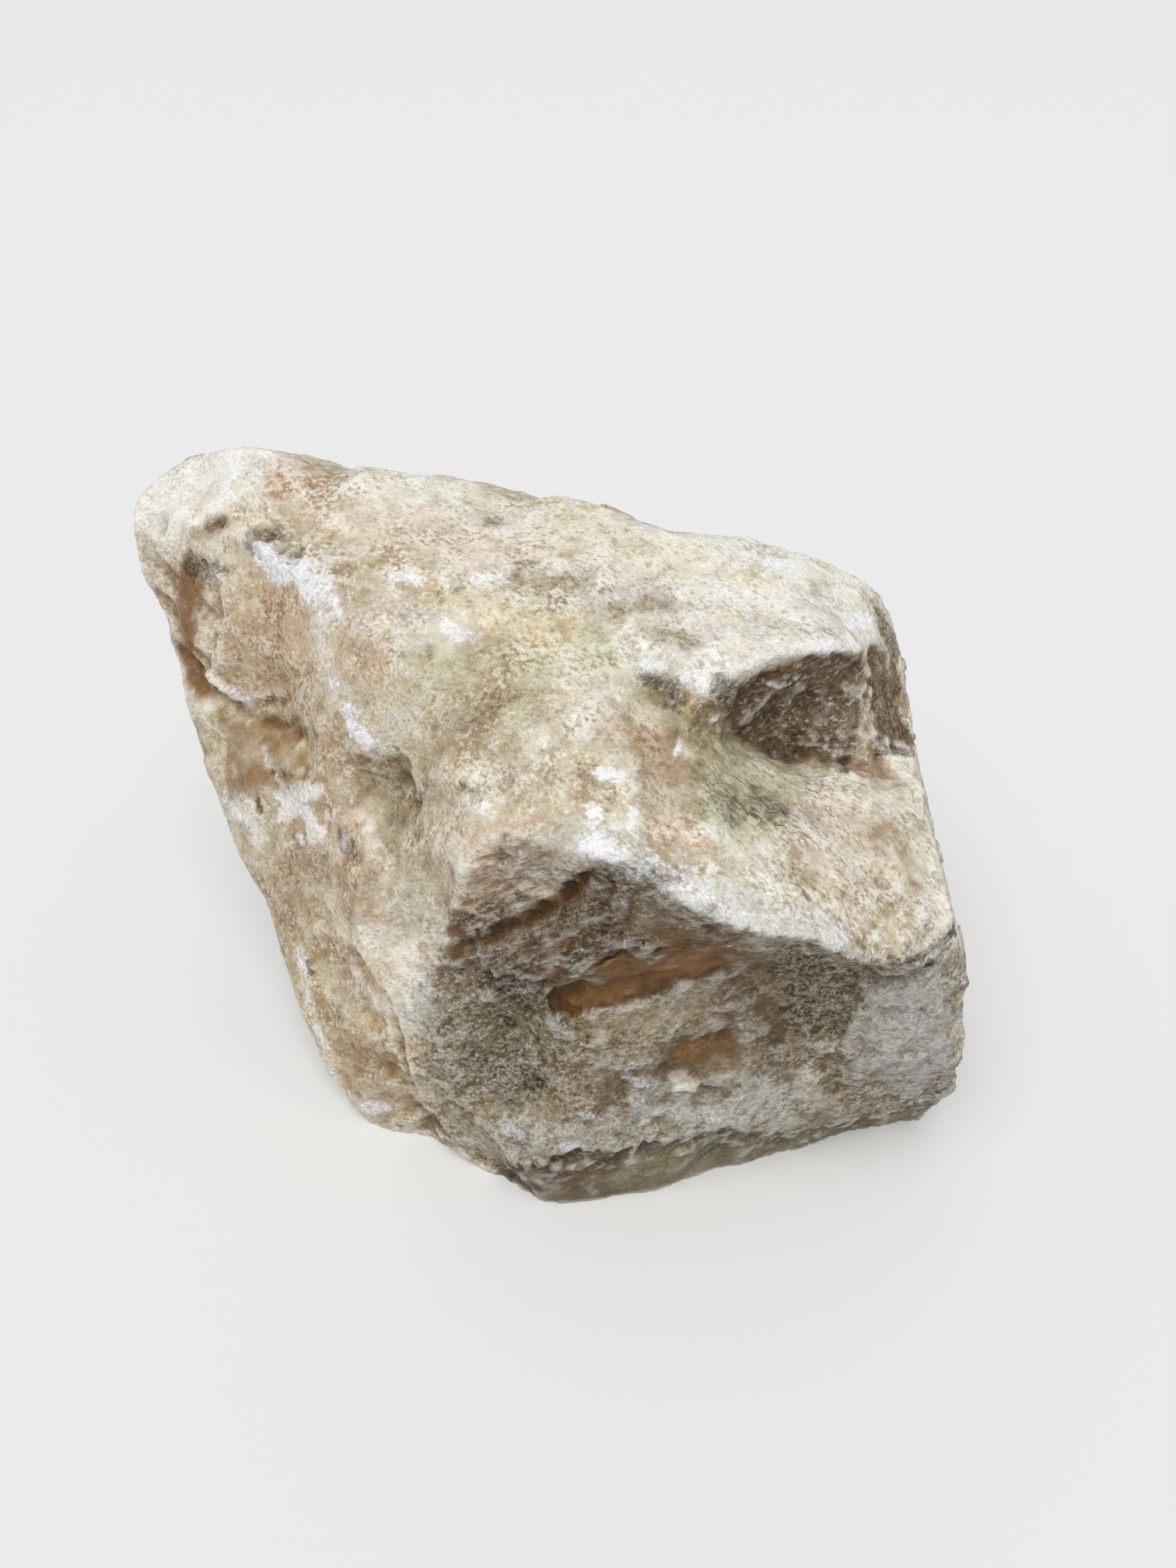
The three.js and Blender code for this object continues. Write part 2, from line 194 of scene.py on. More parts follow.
across_frame = FRAME_WIDE / 2 + FOCAL_LENGTH * ((skin - EYE) @ RIGHTWARD) / ((skin - EYE) @ AHEAD)
down_frame = FRAME_HIGH / 2 - FOCAL_LENGTH * ((skin - EYE) @ UPWARD) / ((skin - EYE) @ AHEAD)
in_sight = np.zeros(count)
for i, (place, normal) in enumerate(zip(skin, outward)):
    toward = EYE - place
    if normal @ toward > 0:
        hit = surface.ray_cast(Vector(place + normal * CLEAR_OF_SKIN), Vector(toward))[0]
        in_sight[i] = hit is None
in_sight = np.clip(rubbed(in_sight, 6) * 2, 0, 1)


def seen(*places):
    """Points of the stone, close together, under a line drawn through these places of the frame."""
    found = []
    for (x0, y0), (x1, y1) in zip(places, places[1:] + places[-1:]):
        parts = max(1, round(math.hypot(x1 - x0, y1 - y0) / SIGHT_STEP))
        for t in np.arange(parts) / parts:
            x, y = x0 + (x1 - x0) * t, y0 + (y1 - y0) * t
            sight = (x - FRAME_WIDE / 2) * RIGHTWARD - (y - FRAME_HIGH / 2) * UPWARD
            sight = sight / FOCAL_LENGTH + AHEAD
            hit = surface.ray_cast(Vector(EYE), Vector(sight))[0]
            if hit is not None:
                found.append(hit)
    return np.array(found)


def beside(start, end):
    """How far the skin's points are seen from a line in the frame, and to which side, + or -."""
    (x0, y0), (x1, y1) = start, end
    dx, dy = x1 - x0, y1 - y0
    px, py = across_frame - x0, down_frame - y0
    t = np.clip((px * dx + py * dy) / (dx * dx + dy * dy), 0, 1)
    return np.hypot(px - t * dx, py - t * dy), dx * py - dy * px


def soft(inside, edge):
    """0 where inside is negative, 1 where it is over this edge, and a smooth ramp between."""
    t = np.clip(inside / edge, 0, 1)
    return t * t * (3 - 2 * t)


def stroke(reach, *places, ragged=0.35):
    """A mark of this many millimetres to each side of a line through these places of the frame."""
    nearest = np.full(count, FAR_AWAY)
    for spot in seen(*places):
        nearest = np.minimum(nearest, ((skin - spot) ** 2).sum(1))
    return soft(reach - np.sqrt(nearest) + wander * reach * ragged, reach * STROKE_EDGE)


def patch(*places, edge=22, ragged=20):
    """A mark that fills the outline through these places of the frame."""
    inside = np.zeros(count, bool)
    nearest = np.full(count, FAR_AWAY)
    for start, end in zip(places, places[1:] + places[:1]):
        away, side = beside(start, end)
        nearest = np.minimum(nearest, away)
        crosses = (down_frame < start[1]) != (down_frame < end[1])
        inside ^= crosses & ((side > 0) == (end[1] > start[1]))
    depth = np.where(inside, nearest, -nearest) + (wander + 0.5 * jag) * ragged
    return soft(depth + edge / 2, edge) * in_sight


def drop(height, reach, *places, ragged=1.0):
    """A small cliff along a line through these places of the frame. To the right of the way along
    the line the stone lies lower by this many millimetres, and evens out over the reach."""
    nearest, past = np.full(count, FAR_AWAY), np.zeros(count)
    for start, end in zip(places, places[1:]):
        away, side = beside(start, end)
        past = np.where(away < nearest, np.sign(side) * away, past)
        nearest = np.minimum(nearest, away)
    past = past + (CLIFF_WANDER * wander + CLIFF_JAG * jag) * ragged
    to_end = np.minimum(
        *(np.hypot(across_frame - x, down_frame - y) for x, y in (places[0], places[-1]))
    )
    low = soft(past + CLIFF_EDGE / 2, CLIFF_EDGE)
    lip = LIP_SHARE * (1 - low) * soft(reach / 2 + past, reach / 2)
    cliff = low * soft(reach - past, reach) - lip
    uneven = np.clip(0.8 + 1.3 * wander, 0.25, 1.4)
    return -height * uneven * cliff * soft(to_end, LINE_END) * in_sight


def eased(places, share):
    """The skin with the forms in here evened out by this share."""
    return places + (rubbed(places, EASING) - places) * share[:, None]


# The stains of the stone, and painted shade: the shade stain is painted shade, and the brown stain is partly
# painted shade where it darkens shaded faces.
STAINS_AND_SHADE = ("pale", "chalk", "pink", "ochre", "olive", "honey", "crumb", "grey", "brown", "shade")
stain_and_shade = {name: np.zeros(count) for name in STAINS_AND_SHADE}


def lay(mark, **strengths):
    """Adds a mark to these stains and painted shades, wherever it is stronger than what is there."""
    for name, strength in strengths.items():
        stain_and_shade[name] = np.maximum(stain_and_shade[name], strength * mark)


def lay_all(stains):
    """Lays many marks, listed by their stain or painted shade. Each has its strength, and then the reach and
    the line of a stroke, or the outline of a patch."""
    for name, marks in stains.items():
        for strength, *form in marks:
            mark = patch(*form) if isinstance(form[0], tuple) else stroke(*form)
            lay(mark, **{name: strength})


# ---------------------------------------------------------------------------------------------
# The left ridge and the knob at its head. The highest corner of the stone was dragged and rubbed:
# chalk-white bruises lie along the ridge, and a pit of brown crumb opens behind the knob.

RIDGE_STAINS = {
    "chalk": (
        (1.0, 8, (337, 710), (348, 733), (375, 737), (398, 752), (422, 768), (437, 783)),
        (0.35, 14, (390, 735), (440, 770), (520, 800), (580, 810)),
        (0.8, 4, (391, 722), (414, 733)),
        (0.7, 2.2, (412, 791), (412, 852)),
        (1.0, 6, (446, 914), (452, 930), (470, 950)),
        (0.45, 9, (412, 800), (414, 850), (440, 900), (480, 960)),
        (0.7, 6, (290, 890), (318, 902)),
        (0.8, 4.5, (296, 588), (302, 608)),
        (0.7, 3.5, (290, 628), (300, 642)),
        (0.6, 3, (300, 656), (316, 660)),
        (0.45, 16, (215, 650), (250, 620), (300, 590)),
    ),
    "pale": (
        (1.0, 24, (215, 650), (250, 620), (310, 600)),
        (0.4, (420, 800), (470, 788), (540, 812), (560, 880), (440, 880)),
    ),
    "pink": (
        (0.5, (330, 620), (420, 628), (560, 650), (700, 700), (640, 740), (500, 720), (400, 690)),
        (0.9, (330, 600), (360, 588), (425, 610), (420, 628), (360, 640), (335, 628)),
        (0.75, (420, 800), (470, 788), (512, 812), (520, 880), (440, 878)),
    ),
    "grey": ((0.9, 3, (229, 672), (241, 677)),),
    "honey": ((0.6, 5, (250, 690), (266, 684), (290, 672)),),
}
lay_all(RIDGE_STAINS)
RIDGE_STEP = ((387, 660), (452, 691), (487, 714), (506, 732))
rise += drop(0.7, 26, *RIDGE_STEP)
ridge_pit = stroke(6, (338, 688), (352, 690), (368, 696), (370, 706), ragged=0.8)
rise -= 0.9 * ridge_pit
lay(ridge_pit, crumb=0.6, brown=0.7)
knob_pit = stroke(3.2, (271, 672), (283, 669))
rise -= 0.6 * knob_pit
lay(knob_pit, crumb=0.4, brown=0.8)


# ---------------------------------------------------------------------------------------------
# The left side. A brown groove runs down it beside a tall face with an upright grain. Below the
# crease the calcite is honey-coloured, with clear amber windows and a white crust.

GROOVE = ((246, 742), (238, 790), (243, 840), (262, 885))
# The groove is stained honey, pink and brown, and darkened with painted shade.
lay(stroke(8, *GROOVE), honey=0.75, shade=0.35, pink=1.0)
lay(stroke(12, *GROOVE), brown=0.9)
tall_face = patch(
    (285, 735), (335, 722), (370, 760), (400, 800), (404, 870), (385, 900), (290, 895), (272, 800),
)
lay(tall_face, pink=0.7, ochre=0.3)
TALL_FACE_EDGE = ((280, 730), (277, 800), (271, 880))
rise += drop(2.0, 30, *TALL_FACE_EDGE)
knob_pocket = patch((241, 718), (262, 710), (281, 714), (279, 732), (255, 738), (240, 734))
rise -= 1.3 * knob_pocket
lay(knob_pocket, crumb=0.55, grey=0.8)

CREASE = ((256, 922), (290, 908), (312, 900), (345, 898), (385, 902))
rise += drop(2.2, 34, *CREASE)
for amber_window in (
    stroke(2.6, (350, 993), (372, 998), ragged=0.1),
    stroke(2.4, (331, 1030), (334, 1043), ragged=0.1),
):
    rise -= 0.7 * amber_window
    lay(amber_window, honey=1.0, ochre=1.0)
white_crust = patch(
    (340, 1012), (368, 1008), (400, 1018), (420, 1050), (430, 1088), (402, 1084), (372, 1050),
    (345, 1040), edge=14, ragged=34,
)
rise += 0.5 * white_crust
lay(white_crust, chalk=0.55, pale=1.0)
pale_waist = patch((290, 1020), (330, 1020), (350, 1060), (345, 1110), (310, 1090), edge=30, ragged=30)
lay(pale_waist, pale=0.8)
inner_face = patch((400, 900), (440, 960), (470, 1060), (490, 1180), (450, 1190), (420, 1060))
lay(inner_face, brown=0.35, pink=0.6)
FAR_EDGE = ((440, 1197), (493, 1277), (513, 1320), (527, 1387), (550, 1423), (580, 1472))
rise += drop(2.4, 60, *FAR_EDGE, ragged=0.25)
LEFT_STAINS = {
    "honey": (
        (0.7, (284, 925), (330, 918), (384, 925), (392, 1000), (370, 1022), (300, 1030)),
        (0.45, (425, 1330), (495, 1335), (545, 1400), (560, 1450), (470, 1440), (430, 1400)),
    ),
    "ochre": (
        (0.9, (320, 918), (384, 925), (392, 985), (372, 1002), (340, 995)),
        (1.0, (376, 1200), (405, 1205), (420, 1290), (432, 1362), (402, 1362), (376, 1270)),
        (0.6, (430, 1190), (520, 1200), (540, 1290), (500, 1290), (460, 1230)),
        (0.7, 5, (461, 1310), (492, 1330), (520, 1370)),
    ),
    "brown": (
        (0.5, (300, 1060), (380, 1060), (430, 1110), (420, 1180), (380, 1190), (330, 1110)),
        (0.15, (425, 1230), (450, 1215), (493, 1280), (513, 1322), (527, 1389), (550, 1425),
         (570, 1458), (470, 1440), (420, 1360)),
    ),
    "pale": ((1.0, (430, 1190), (530, 1190), (560, 1260), (540, 1330), (510, 1300), (490, 1262)),),
    "pink": ((0.8, 7, (474, 1120), (486, 1175)),),
    "crumb": (
        (0.5, 4, (440, 1075), (460, 1100)),
        (0.9, 1.6, (398, 1238), (401, 1250)),
    ),
    "chalk": (
        (0.6, 5, (302, 1040), (330, 1066)),
        (0.6, 2.5, (340, 962), (344, 985)),
        (0.6, 5, (385, 1225), (400, 1300), (420, 1350)),
        (0.8, 5, (470, 1424), (496, 1424)),
        (0.6, 1.6, (447, 1207), (493, 1277), (513, 1320), (527, 1387), (573, 1460)),
        (0.8, 2.4, (522, 1280), (528, 1294)),
    ),
}
lay_all(LEFT_STAINS)


# ---------------------------------------------------------------------------------------------
# The flake scar. A flake the size of a thumb fell out under the ridge and left an arched rim
# with upright ribs below it.

SCAR = ((430, 960), (540, 965), (560, 1060), (500, 1110), (450, 1040))
SCAR_RIM = ((436, 955), (461, 974), (483, 979), (507, 967), (530, 977), (534, 1027), (528, 1085))
skin = eased(skin, 0.6 * patch(*SCAR, edge=30))
rise += drop(1.8, 30, *SCAR_RIM)
scar_hollow = patch((492, 992), (532, 985), (538, 1080), (505, 1078), (490, 1030), ragged=8)
rise -= 0.5 * scar_hollow
lay(scar_hollow, crumb=0.15, brown=0.8, olive=0.5)
# A brown line and painted shade under the arched rim stand for the rim's shadow.
SCAR_STAINS_AND_SHADE = {
    "brown": (
        (0.8, 3.5, (452, 978), (483, 990), (507, 980), (526, 996), (530, 1035)),
        (0.6, (440, 975), (540, 975), (545, 1080), (500, 1100), (450, 1040)),
    ),
    "grey": (
        (0.5, (450, 985), (530, 985), (535, 1080), (500, 1090), (455, 1030)),
        (0.6, (440, 1080), (560, 1080), (600, 1200), (500, 1220)),
    ),
    "chalk": (
        (0.5, 1.6, (497, 1125), (512, 1160), (530, 1190)),
        (0.5, 1.6, (545, 1142), (562, 1170)),
    ),
    "shade": ((0.4, 2.6, (456, 978), (483, 988), (507, 978), (526, 992)),),
    "ochre": ((0.6, (455, 990), (492, 992), (495, 1060), (470, 1050)),),
}
lay_all(SCAR_STAINS_AND_SHADE)


# ---------------------------------------------------------------------------------------------
# The long top slope. It is sugary cream calcite with its grain running down to the right, worn
# whitish on the high spots, with pockets of brown crumb and a soft mossy stain by the notch.

CRUMB_POCKETS = (
    (6, (826, 812), (850, 812), (876, 820)),
    (6, (812, 778), (850, 776)),
    (4.5, (584, 756), (600, 762)),
    (5.5, (656, 742), (694, 746)),
    (5, (714, 744), (750, 746)),
    (4, (626, 673), (646, 675)),
    (4.5, (596, 1012), (612, 1020)),
)
for reach, *line in CRUMB_POCKETS:
    pocket = stroke(reach, *line, ragged=1.3)
    rise -= 0.35 * pocket
    lay(pocket, crumb=0.28, brown=0.4, ochre=0.6)
SLOPE_STAINS = {
    "crumb": (
        (0.15, (640, 728), (860, 760), (870, 800), (700, 770)),
        (0.25, (900, 1000), (1000, 1030), (1010, 1070), (930, 1060)),
        (0.35, 4, (980, 1030), (1004, 1044)),
    ),
    "ochre": (
        (0.9, 9, (565, 765), (600, 770), (650, 800), (720, 815)),
        (0.8, 4, (922, 788), (942, 794)),
        (0.8, 5, (936, 742), (990, 748)),
        (0.5, 14, (700, 690), (800, 700), (880, 720)),
        (0.5, 12, (620, 640), (760, 655)),
    ),
    "olive": (
        (0.95, (872, 962), (930, 985), (1000, 1020), (1014, 1075), (965, 1092), (905, 1062), (880, 1015)),
        (0.6, 10, (760, 830), (830, 880), (880, 930)),
        (0.7, 14, (540, 850), (600, 870), (680, 880)),
    ),
    "pink": (
        (0.8, (790, 930), (860, 935), (905, 985), (880, 1010), (820, 985)),
        (0.8, (600, 1060), (680, 1040), (700, 1075), (640, 1110), (595, 1100)),
        (0.3, (1000, 1000), (1110, 1000), (1150, 1120), (1160, 1220), (1060, 1180), (1010, 1090)),
        (0.8, 7, (860, 1070), (905, 1095)),
        (0.4, 12, (1090, 1040), (1130, 1110)),
    ),
    "brown": (
        (0.8, (790, 930), (860, 935), (905, 985), (900, 1060), (820, 1040)),
        (0.4, (780, 900), (860, 915), (890, 960), (870, 1000), (800, 990), (760, 940)),
        (0.2, (1100, 1040), (1160, 1040), (1190, 1150), (1130, 1180)),
        (0.15, (660, 960), (740, 960), (750, 1040), (690, 1060), (640, 1010)),
        (0.08, (470, 800), (600, 830), (700, 900), (640, 930), (520, 900)),
    ),
    "grey": ((0.4, 9, (600, 960), (660, 1000)),),
    "pale": (
        (0.5, (1000, 1000), (1110, 1000), (1100, 1120), (1060, 1150), (1010, 1090)),
        (0.9, 30, (860, 700), (960, 730), (1080, 790)),
        (0.7, 26, (560, 640), (700, 680), (860, 780), (960, 830)),
        (0.35, 20, (700, 880), (800, 860)),
        (0.5, 20, (470, 640), (620, 720)),
    ),
    "chalk": (
        (0.85, 4, (612, 746), (646, 742)),
        (0.85, 4, (570, 805), (592, 818)),
        (0.85, 3, (505, 738), (540, 745)),
        (0.85, 4, (988, 722), (1022, 726)),
        (0.85, 4, (880, 872), (906, 878)),
        (0.85, 3, (830, 854), (850, 856)),
        (0.85, 3, (918, 842), (930, 846)),
        (0.85, 3, (960, 856), (980, 856)),
        (0.85, 5, (1055, 832), (1096, 826)),
        (0.85, 4, (1088, 802), (1114, 798)),
        (0.85, 3, (770, 992), (800, 1000)),
        (0.85, 4, (762, 1045), (768, 1090)),
        (0.85, 2.6, (815, 1042), (812, 1062)),
        (0.85, 2, (870, 970), (878, 960)),
        (0.35, 22, (900, 780), (1060, 800)),
        (0.3, 16, (820, 850), (1000, 850)),
    ),
}
lay_all(SLOPE_STAINS)


# ---------------------------------------------------------------------------------------------
# The notch. A block broke out of the near right corner and left a face under an overhanging rim, painted dark
# with shade, with a slit of crumb at its left end and a white curl of calcite on a honey seam.

NOTCH_LEFT = ((856, 890), (905, 900), (920, 960), (895, 1010), (850, 985))
NOTCH_RIGHT = ((1030, 868), (1112, 852), (1110, 985), (1040, 975))
for outline in (NOTCH_LEFT, NOTCH_RIGHT):
    skin = eased(skin, patch(*outline, edge=30))
# The face under the rim is painted dark with shade and brown, and keeps none of the chalk or pale.
shaded_notch_face = patch(
    (922, 895), (960, 873), (1000, 853), (1050, 843), (1108, 837), (1112, 912), (1090, 992),
    (1000, 972), (945, 945), edge=9, ragged=7,
)
for name in ("chalk", "pale"):
    stain_and_shade[name] *= 1 - shaded_notch_face
lay(shaded_notch_face, grey=0.6, shade=1.0, brown=1.0, crumb=0.3)
# The floor of the notch below the face is olive, with some painted shade.
trough = patch(
    (850, 890), (905, 915), (960, 940), (1010, 980), (1040, 1010), (1012, 1060), (940, 1062),
    (900, 1000), (860, 940),
)
lay(trough, shade=0.3, olive=0.7)
# Painted light: the pale wedge at the left end of the face is lightened where the notch's own shadow falls on
# it.
painted_light_wedge = patch((840, 857), (925, 866), (924, 900), (905, 908), (872, 888), edge=10, ragged=6)
lay(painted_light_wedge, pale=0.8)
slit = patch((828, 868), (850, 872), (880, 892), (898, 905), (880, 908), (852, 892))
lay(slit, crumb=1.0, olive=0.7)
white_curl = stroke(1.7, (986, 876), (1000, 882), (1014, 876), (1020, 868), ragged=0.1)
white_chip = stroke(2.4, (904, 926), (918, 918), ragged=0.1)
for raised in (white_curl, white_chip):
    rise += 1.2 * raised
    lay(raised, chalk=1.0)
NOTCH_STAINS = {
    "brown": ((0.8, 5, (1104, 850), (1104, 985)),),
    "crumb": ((1.0, 3.5, (926, 878), (945, 888), (930, 902)),),
    "honey": ((1.0, 2.6, (988, 866), (1018, 862)),),
}
lay_all(NOTCH_STAINS)


# ---------------------------------------------------------------------------------------------
# The rib and the brown recess on the right. A thin upright rib is all that is left between the notch and a
# recess in the right side, which is stained brown and darkened with painted shade behind a pale rim.

pale_rib = stroke(3, (1112, 850), (1110, 930), (1112, 1000), ragged=0.1)
lay(pale_rib, pale=0.15)
brown_recess = patch((1118, 828), (1140, 836), (1160, 880), (1170, 950), (1130, 960), (1118, 920))
lay(brown_recess, honey=0.5, brown=0.8, shade=0.8, crumb=0.35)
RIB_EDGE = ((1124, 1000), (1112, 930), (1112, 870), (1120, 815))
RECESS_SILL = ((1178, 964), (1150, 967), (1130, 955))
rise += drop(1.6, 50, *RIB_EDGE, ragged=0.2)
rise += drop(1.2, 26, *RECESS_SILL)
RIB_STAINS = {
    "brown": ((0.9, 8, (1108, 910), (1110, 990)),),
    "crumb": (
        (0.9, 4, (1128, 792), (1142, 815), (1150, 838)),
        (0.6, 2.2, (1134, 962), (1172, 966)),
    ),
    "chalk": (
        (0.7, 2.4, (1160, 872), (1170, 905), (1176, 945)),
        (0.5, 3, (1182, 1010), (1194, 1060)),
    ),
    "honey": ((0.35, (1110, 1010), (1180, 1000), (1200, 1100), (1190, 1160), (1130, 1100)),),
}
lay_all(RIB_STAINS)


# ---------------------------------------------------------------------------------------------
# The brow and the striped shoulder. The top slope breaks off along a chalky brow. Under its left
# half a shoulder with a slanting grain leads down to a deep seam of honey calcite.

striped = patch(
    (572, 1225), (585, 1150), (650, 1075), (745, 1120), (800, 1105), (840, 1132), (900, 1175),
    (960, 1200), (900, 1222), (800, 1240), (720, 1268), (600, 1258),
)
shoulder_top = patch((664, 1085), (700, 1068), (758, 1072), (756, 1110), (700, 1148), (668, 1130))
lay(shoulder_top, brown=0.55, grey=0.7, pale=0.5)
# The end of the shoulder is stained brown and darkened with painted shade.
shoulder_end = patch((572, 1215), (585, 1150), (650, 1080), (680, 1150), (630, 1200))
lay(shoulder_end, brown=0.5, shade=0.4)
SHOULDER_LIP = ((575, 1222), (630, 1198), (676, 1173), (731, 1141), (770, 1108))
rise += drop(2.0, 24, *SHOULDER_LIP)
deep_seam = stroke(4.2, (582, 1228), (630, 1206), (676, 1181), (731, 1149), (756, 1124), ragged=0.2)
rise -= 0.5 * deep_seam
lay(deep_seam, honey=0.75)
# Chalk along the brow. Below it, brown stain and painted shade on the shoulder and over the seam.
BROW_STAINS_AND_SHADE = {
    "chalk": (
        (0.65, 5, (758, 1084), (792, 1104)),
        (0.7, 6, (836, 1118), (880, 1146), (920, 1166), (952, 1180)),
        (0.45, 7, (1018, 1172), (1064, 1198)),
        (0.45, 5, (1078, 1196), (1100, 1228)),
        (0.42, 12, (760, 1080), (860, 1124), (950, 1166), (1060, 1194)),
        (0.5, 2.5, (780, 1220), (812, 1214)),
    ),
    "grey": ((1.0, 13, (745, 1085), (800, 1108), (860, 1138), (950, 1180), (1060, 1200)),),
    "pink": ((0.9, (590, 1130), (650, 1070), (672, 1120), (660, 1160), (590, 1200)),),
    "honey": (
        (0.8, 3.5, (580, 1196), (600, 1208)),
        (1.0, 5, (660, 1186), (735, 1147)),
        (0.7, 2.6, (783, 1172), (795, 1166)),
        (0.8, 2.6, (716, 1220), (732, 1212)),
        (0.4, (600, 1250), (760, 1140), (830, 1130), (900, 1180), (880, 1210), (740, 1230)),
    ),
    "shade": (
        (0.55, (640, 1262), (676, 1190), (735, 1155), (790, 1130), (800, 1238), (720, 1270)),
        (0.36, (572, 1225), (640, 1195), (740, 1145), (760, 1200), (700, 1262), (600, 1256)),
        (0.04, (790, 1120), (840, 1136), (892, 1168), (960, 1195), (1000, 1202), (990, 1240),
         (900, 1225), (800, 1238)),
    ),
    "brown": (
        (0.65, (600, 1256), (640, 1225), (700, 1195), (760, 1145), (790, 1120), (800, 1240),
         (740, 1262), (640, 1272)),
        (0.05, (790, 1115), (840, 1132), (960, 1195), (940, 1215), (840, 1232), (800, 1240)),
    ),
}
lay_all(BROW_STAINS_AND_SHADE)


# ---------------------------------------------------------------------------------------------
# The honey recess. Below the lip the stone is clear, smooth and orange-brown, like set honey,
# down to a pale ledge. A smaller window of the same lies further down beside a clear knob.

honey_window = patch(
    (712, 1296), (735, 1267), (795, 1246), (822, 1233), (885, 1220), (949, 1222),
    (931, 1240), (913, 1256), (858, 1276), (800, 1292), (758, 1304), (722, 1304),
)
# The window lies under the lip and is darkened with painted shade.
lay(honey_window, honey=1.0, shade=0.85)
honey_rim = patch(
    (690, 1300), (700, 1265), (790, 1225), (860, 1190), (960, 1200), (965, 1225), (900, 1262),
    (800, 1292), edge=50, ragged=40,
)
lay(honey_rim, honey=0.8)
WINDOW_LIP = ((690, 1262), (744, 1248), (840, 1222), (920, 1216), (966, 1204))
LEDGE_LIP = ((950, 1236), (913, 1258), (858, 1280), (800, 1294), (705, 1304))
POCKET_LIP = ((590, 1246), (632, 1258), (708, 1266), (730, 1262))
LOWER_LIP = ((840, 1352), (866, 1338), (890, 1329), (950, 1334))
rise += drop(1.4, 36, *WINDOW_LIP)
rise += drop(1.8, 30, *LEDGE_LIP)
rise += drop(2.4, 30, *POCKET_LIP)
dark_pocket = patch((640, 1274), (690, 1268), (708, 1282), (700, 1298), (655, 1294))
rise -= 0.8 * dark_pocket
lay(dark_pocket, crumb=0.6)
ledge = patch((740, 1300), (850, 1280), (913, 1282), (915, 1315), (860, 1335), (750, 1330))
rise += 0.5 * ledge
rise += drop(0.9, 30, *LOWER_LIP)
lower_window = patch((846, 1352), (890, 1326), (955, 1332), (960, 1368), (910, 1388), (850, 1380), edge=40)
# The smaller window is darkened with painted shade and brown.
lay(lower_window, honey=0.62, shade=1.0, brown=0.9, olive=0.4)
clear_knob = patch((854, 1376), (878, 1370), (900, 1386), (896, 1404), (868, 1402), edge=8, ragged=3)
rise += 1.6 * clear_knob
lay(clear_knob, grey=0.7, olive=0.4)
smooth = np.maximum.reduce((0.8 * honey_window, 0.5 * ledge, lower_window, clear_knob))
for white_chip in (
    stroke(2.2, (805, 1384), (830, 1396), ragged=0.1),
    stroke(2.4, (724, 1472), (744, 1472), ragged=0.2),
    stroke(2.6, (655, 1450), (670, 1458), ragged=0.2),
    stroke(1.8, (752, 1432), (764, 1436), ragged=0.2),
):
    rise += 0.8 * white_chip
    lay(white_chip, chalk=0.9)
white_band = patch(
    (810, 1425), (840, 1395), (905, 1390), (965, 1380), (1030, 1385), (1030, 1450), (840, 1462),
    edge=45, ragged=45,
)
lay(white_band, pale=1.0, olive=0.3, chalk=0.4)
ochre_crumbs = patch((1022, 1392), (1080, 1390), (1086, 1428), (1030, 1430))
rise += 0.8 * ochre_crumbs
lay(ochre_crumbs, pale=0.8, ochre=1.0, honey=0.3)
# Painted shade under the lip, in the dark pocket beside it, and right of the ledge.
RECESS_STAINS_AND_SHADE = {
    "shade": (
        (0.35, (700, 1265), (790, 1225), (860, 1195), (960, 1205), (960, 1225), (800, 1250)),
        (0.7, (590, 1245), (700, 1262), (712, 1290), (700, 1300), (640, 1296), (600, 1275)),
        (0.4, (880, 1330), (960, 1290), (1010, 1300), (1020, 1350), (960, 1380), (900, 1380)),
    ),
    "honey": (
        (0.5, 8, (985, 1290), (1020, 1345)),
        (0.5, 9, (960, 1215), (1000, 1280)),
        (0.5, 5, (790, 1400), (815, 1430)),
        (0.3, (740, 1340), (1000, 1300), (1010, 1400), (820, 1440), (740, 1400)),
    ),
    "brown": ((0.5, (900, 1270), (960, 1240), (1020, 1290), (1030, 1350), (980, 1390), (910, 1330)),),
    "pale": ((0.7, (640, 1440), (860, 1440), (860, 1470), (660, 1490)),),
    "ochre": ((0.9, (568, 1395), (632, 1412), (640, 1452), (600, 1450)),),
}
lay_all(RECESS_STAINS_AND_SHADE)


# ---------------------------------------------------------------------------------------------
# The crumbling hollows. Two places on the front have rotted to a dark gritty crumb: one low on
# the left, and one under the right end of the brow, beside a block of pale granular calcite.

SCATTER = 57.3  # spreads the facets' places, so that each is tipped its own way


def facets(size, along=None, stretch=1):
    """Flat breaks of this many millimetres, each tipped its own way, with steps between them."""
    heights = []
    for p in squeezed(along, stretch) / size:
        nearest = noise.voronoi(Vector(p))[1][0]
        tip = noise.cell_vector(nearest * SCATTER) * 2 - Vector((1, 1, 1))
        heights.append((Vector(p) - nearest).dot(tip))
    return np.array(heights)


left_hollow = patch(
    (590, 1296), (650, 1290), (712, 1300), (712, 1380), (690, 1413), (640, 1410), (600, 1370),
)
lay(left_hollow, crumb=0.27, olive=0.8)
right_hollow = patch(
    (985, 1235), (1000, 1214), (1050, 1226), (1100, 1250), (1104, 1300), (1075, 1330), (1010, 1316),
)
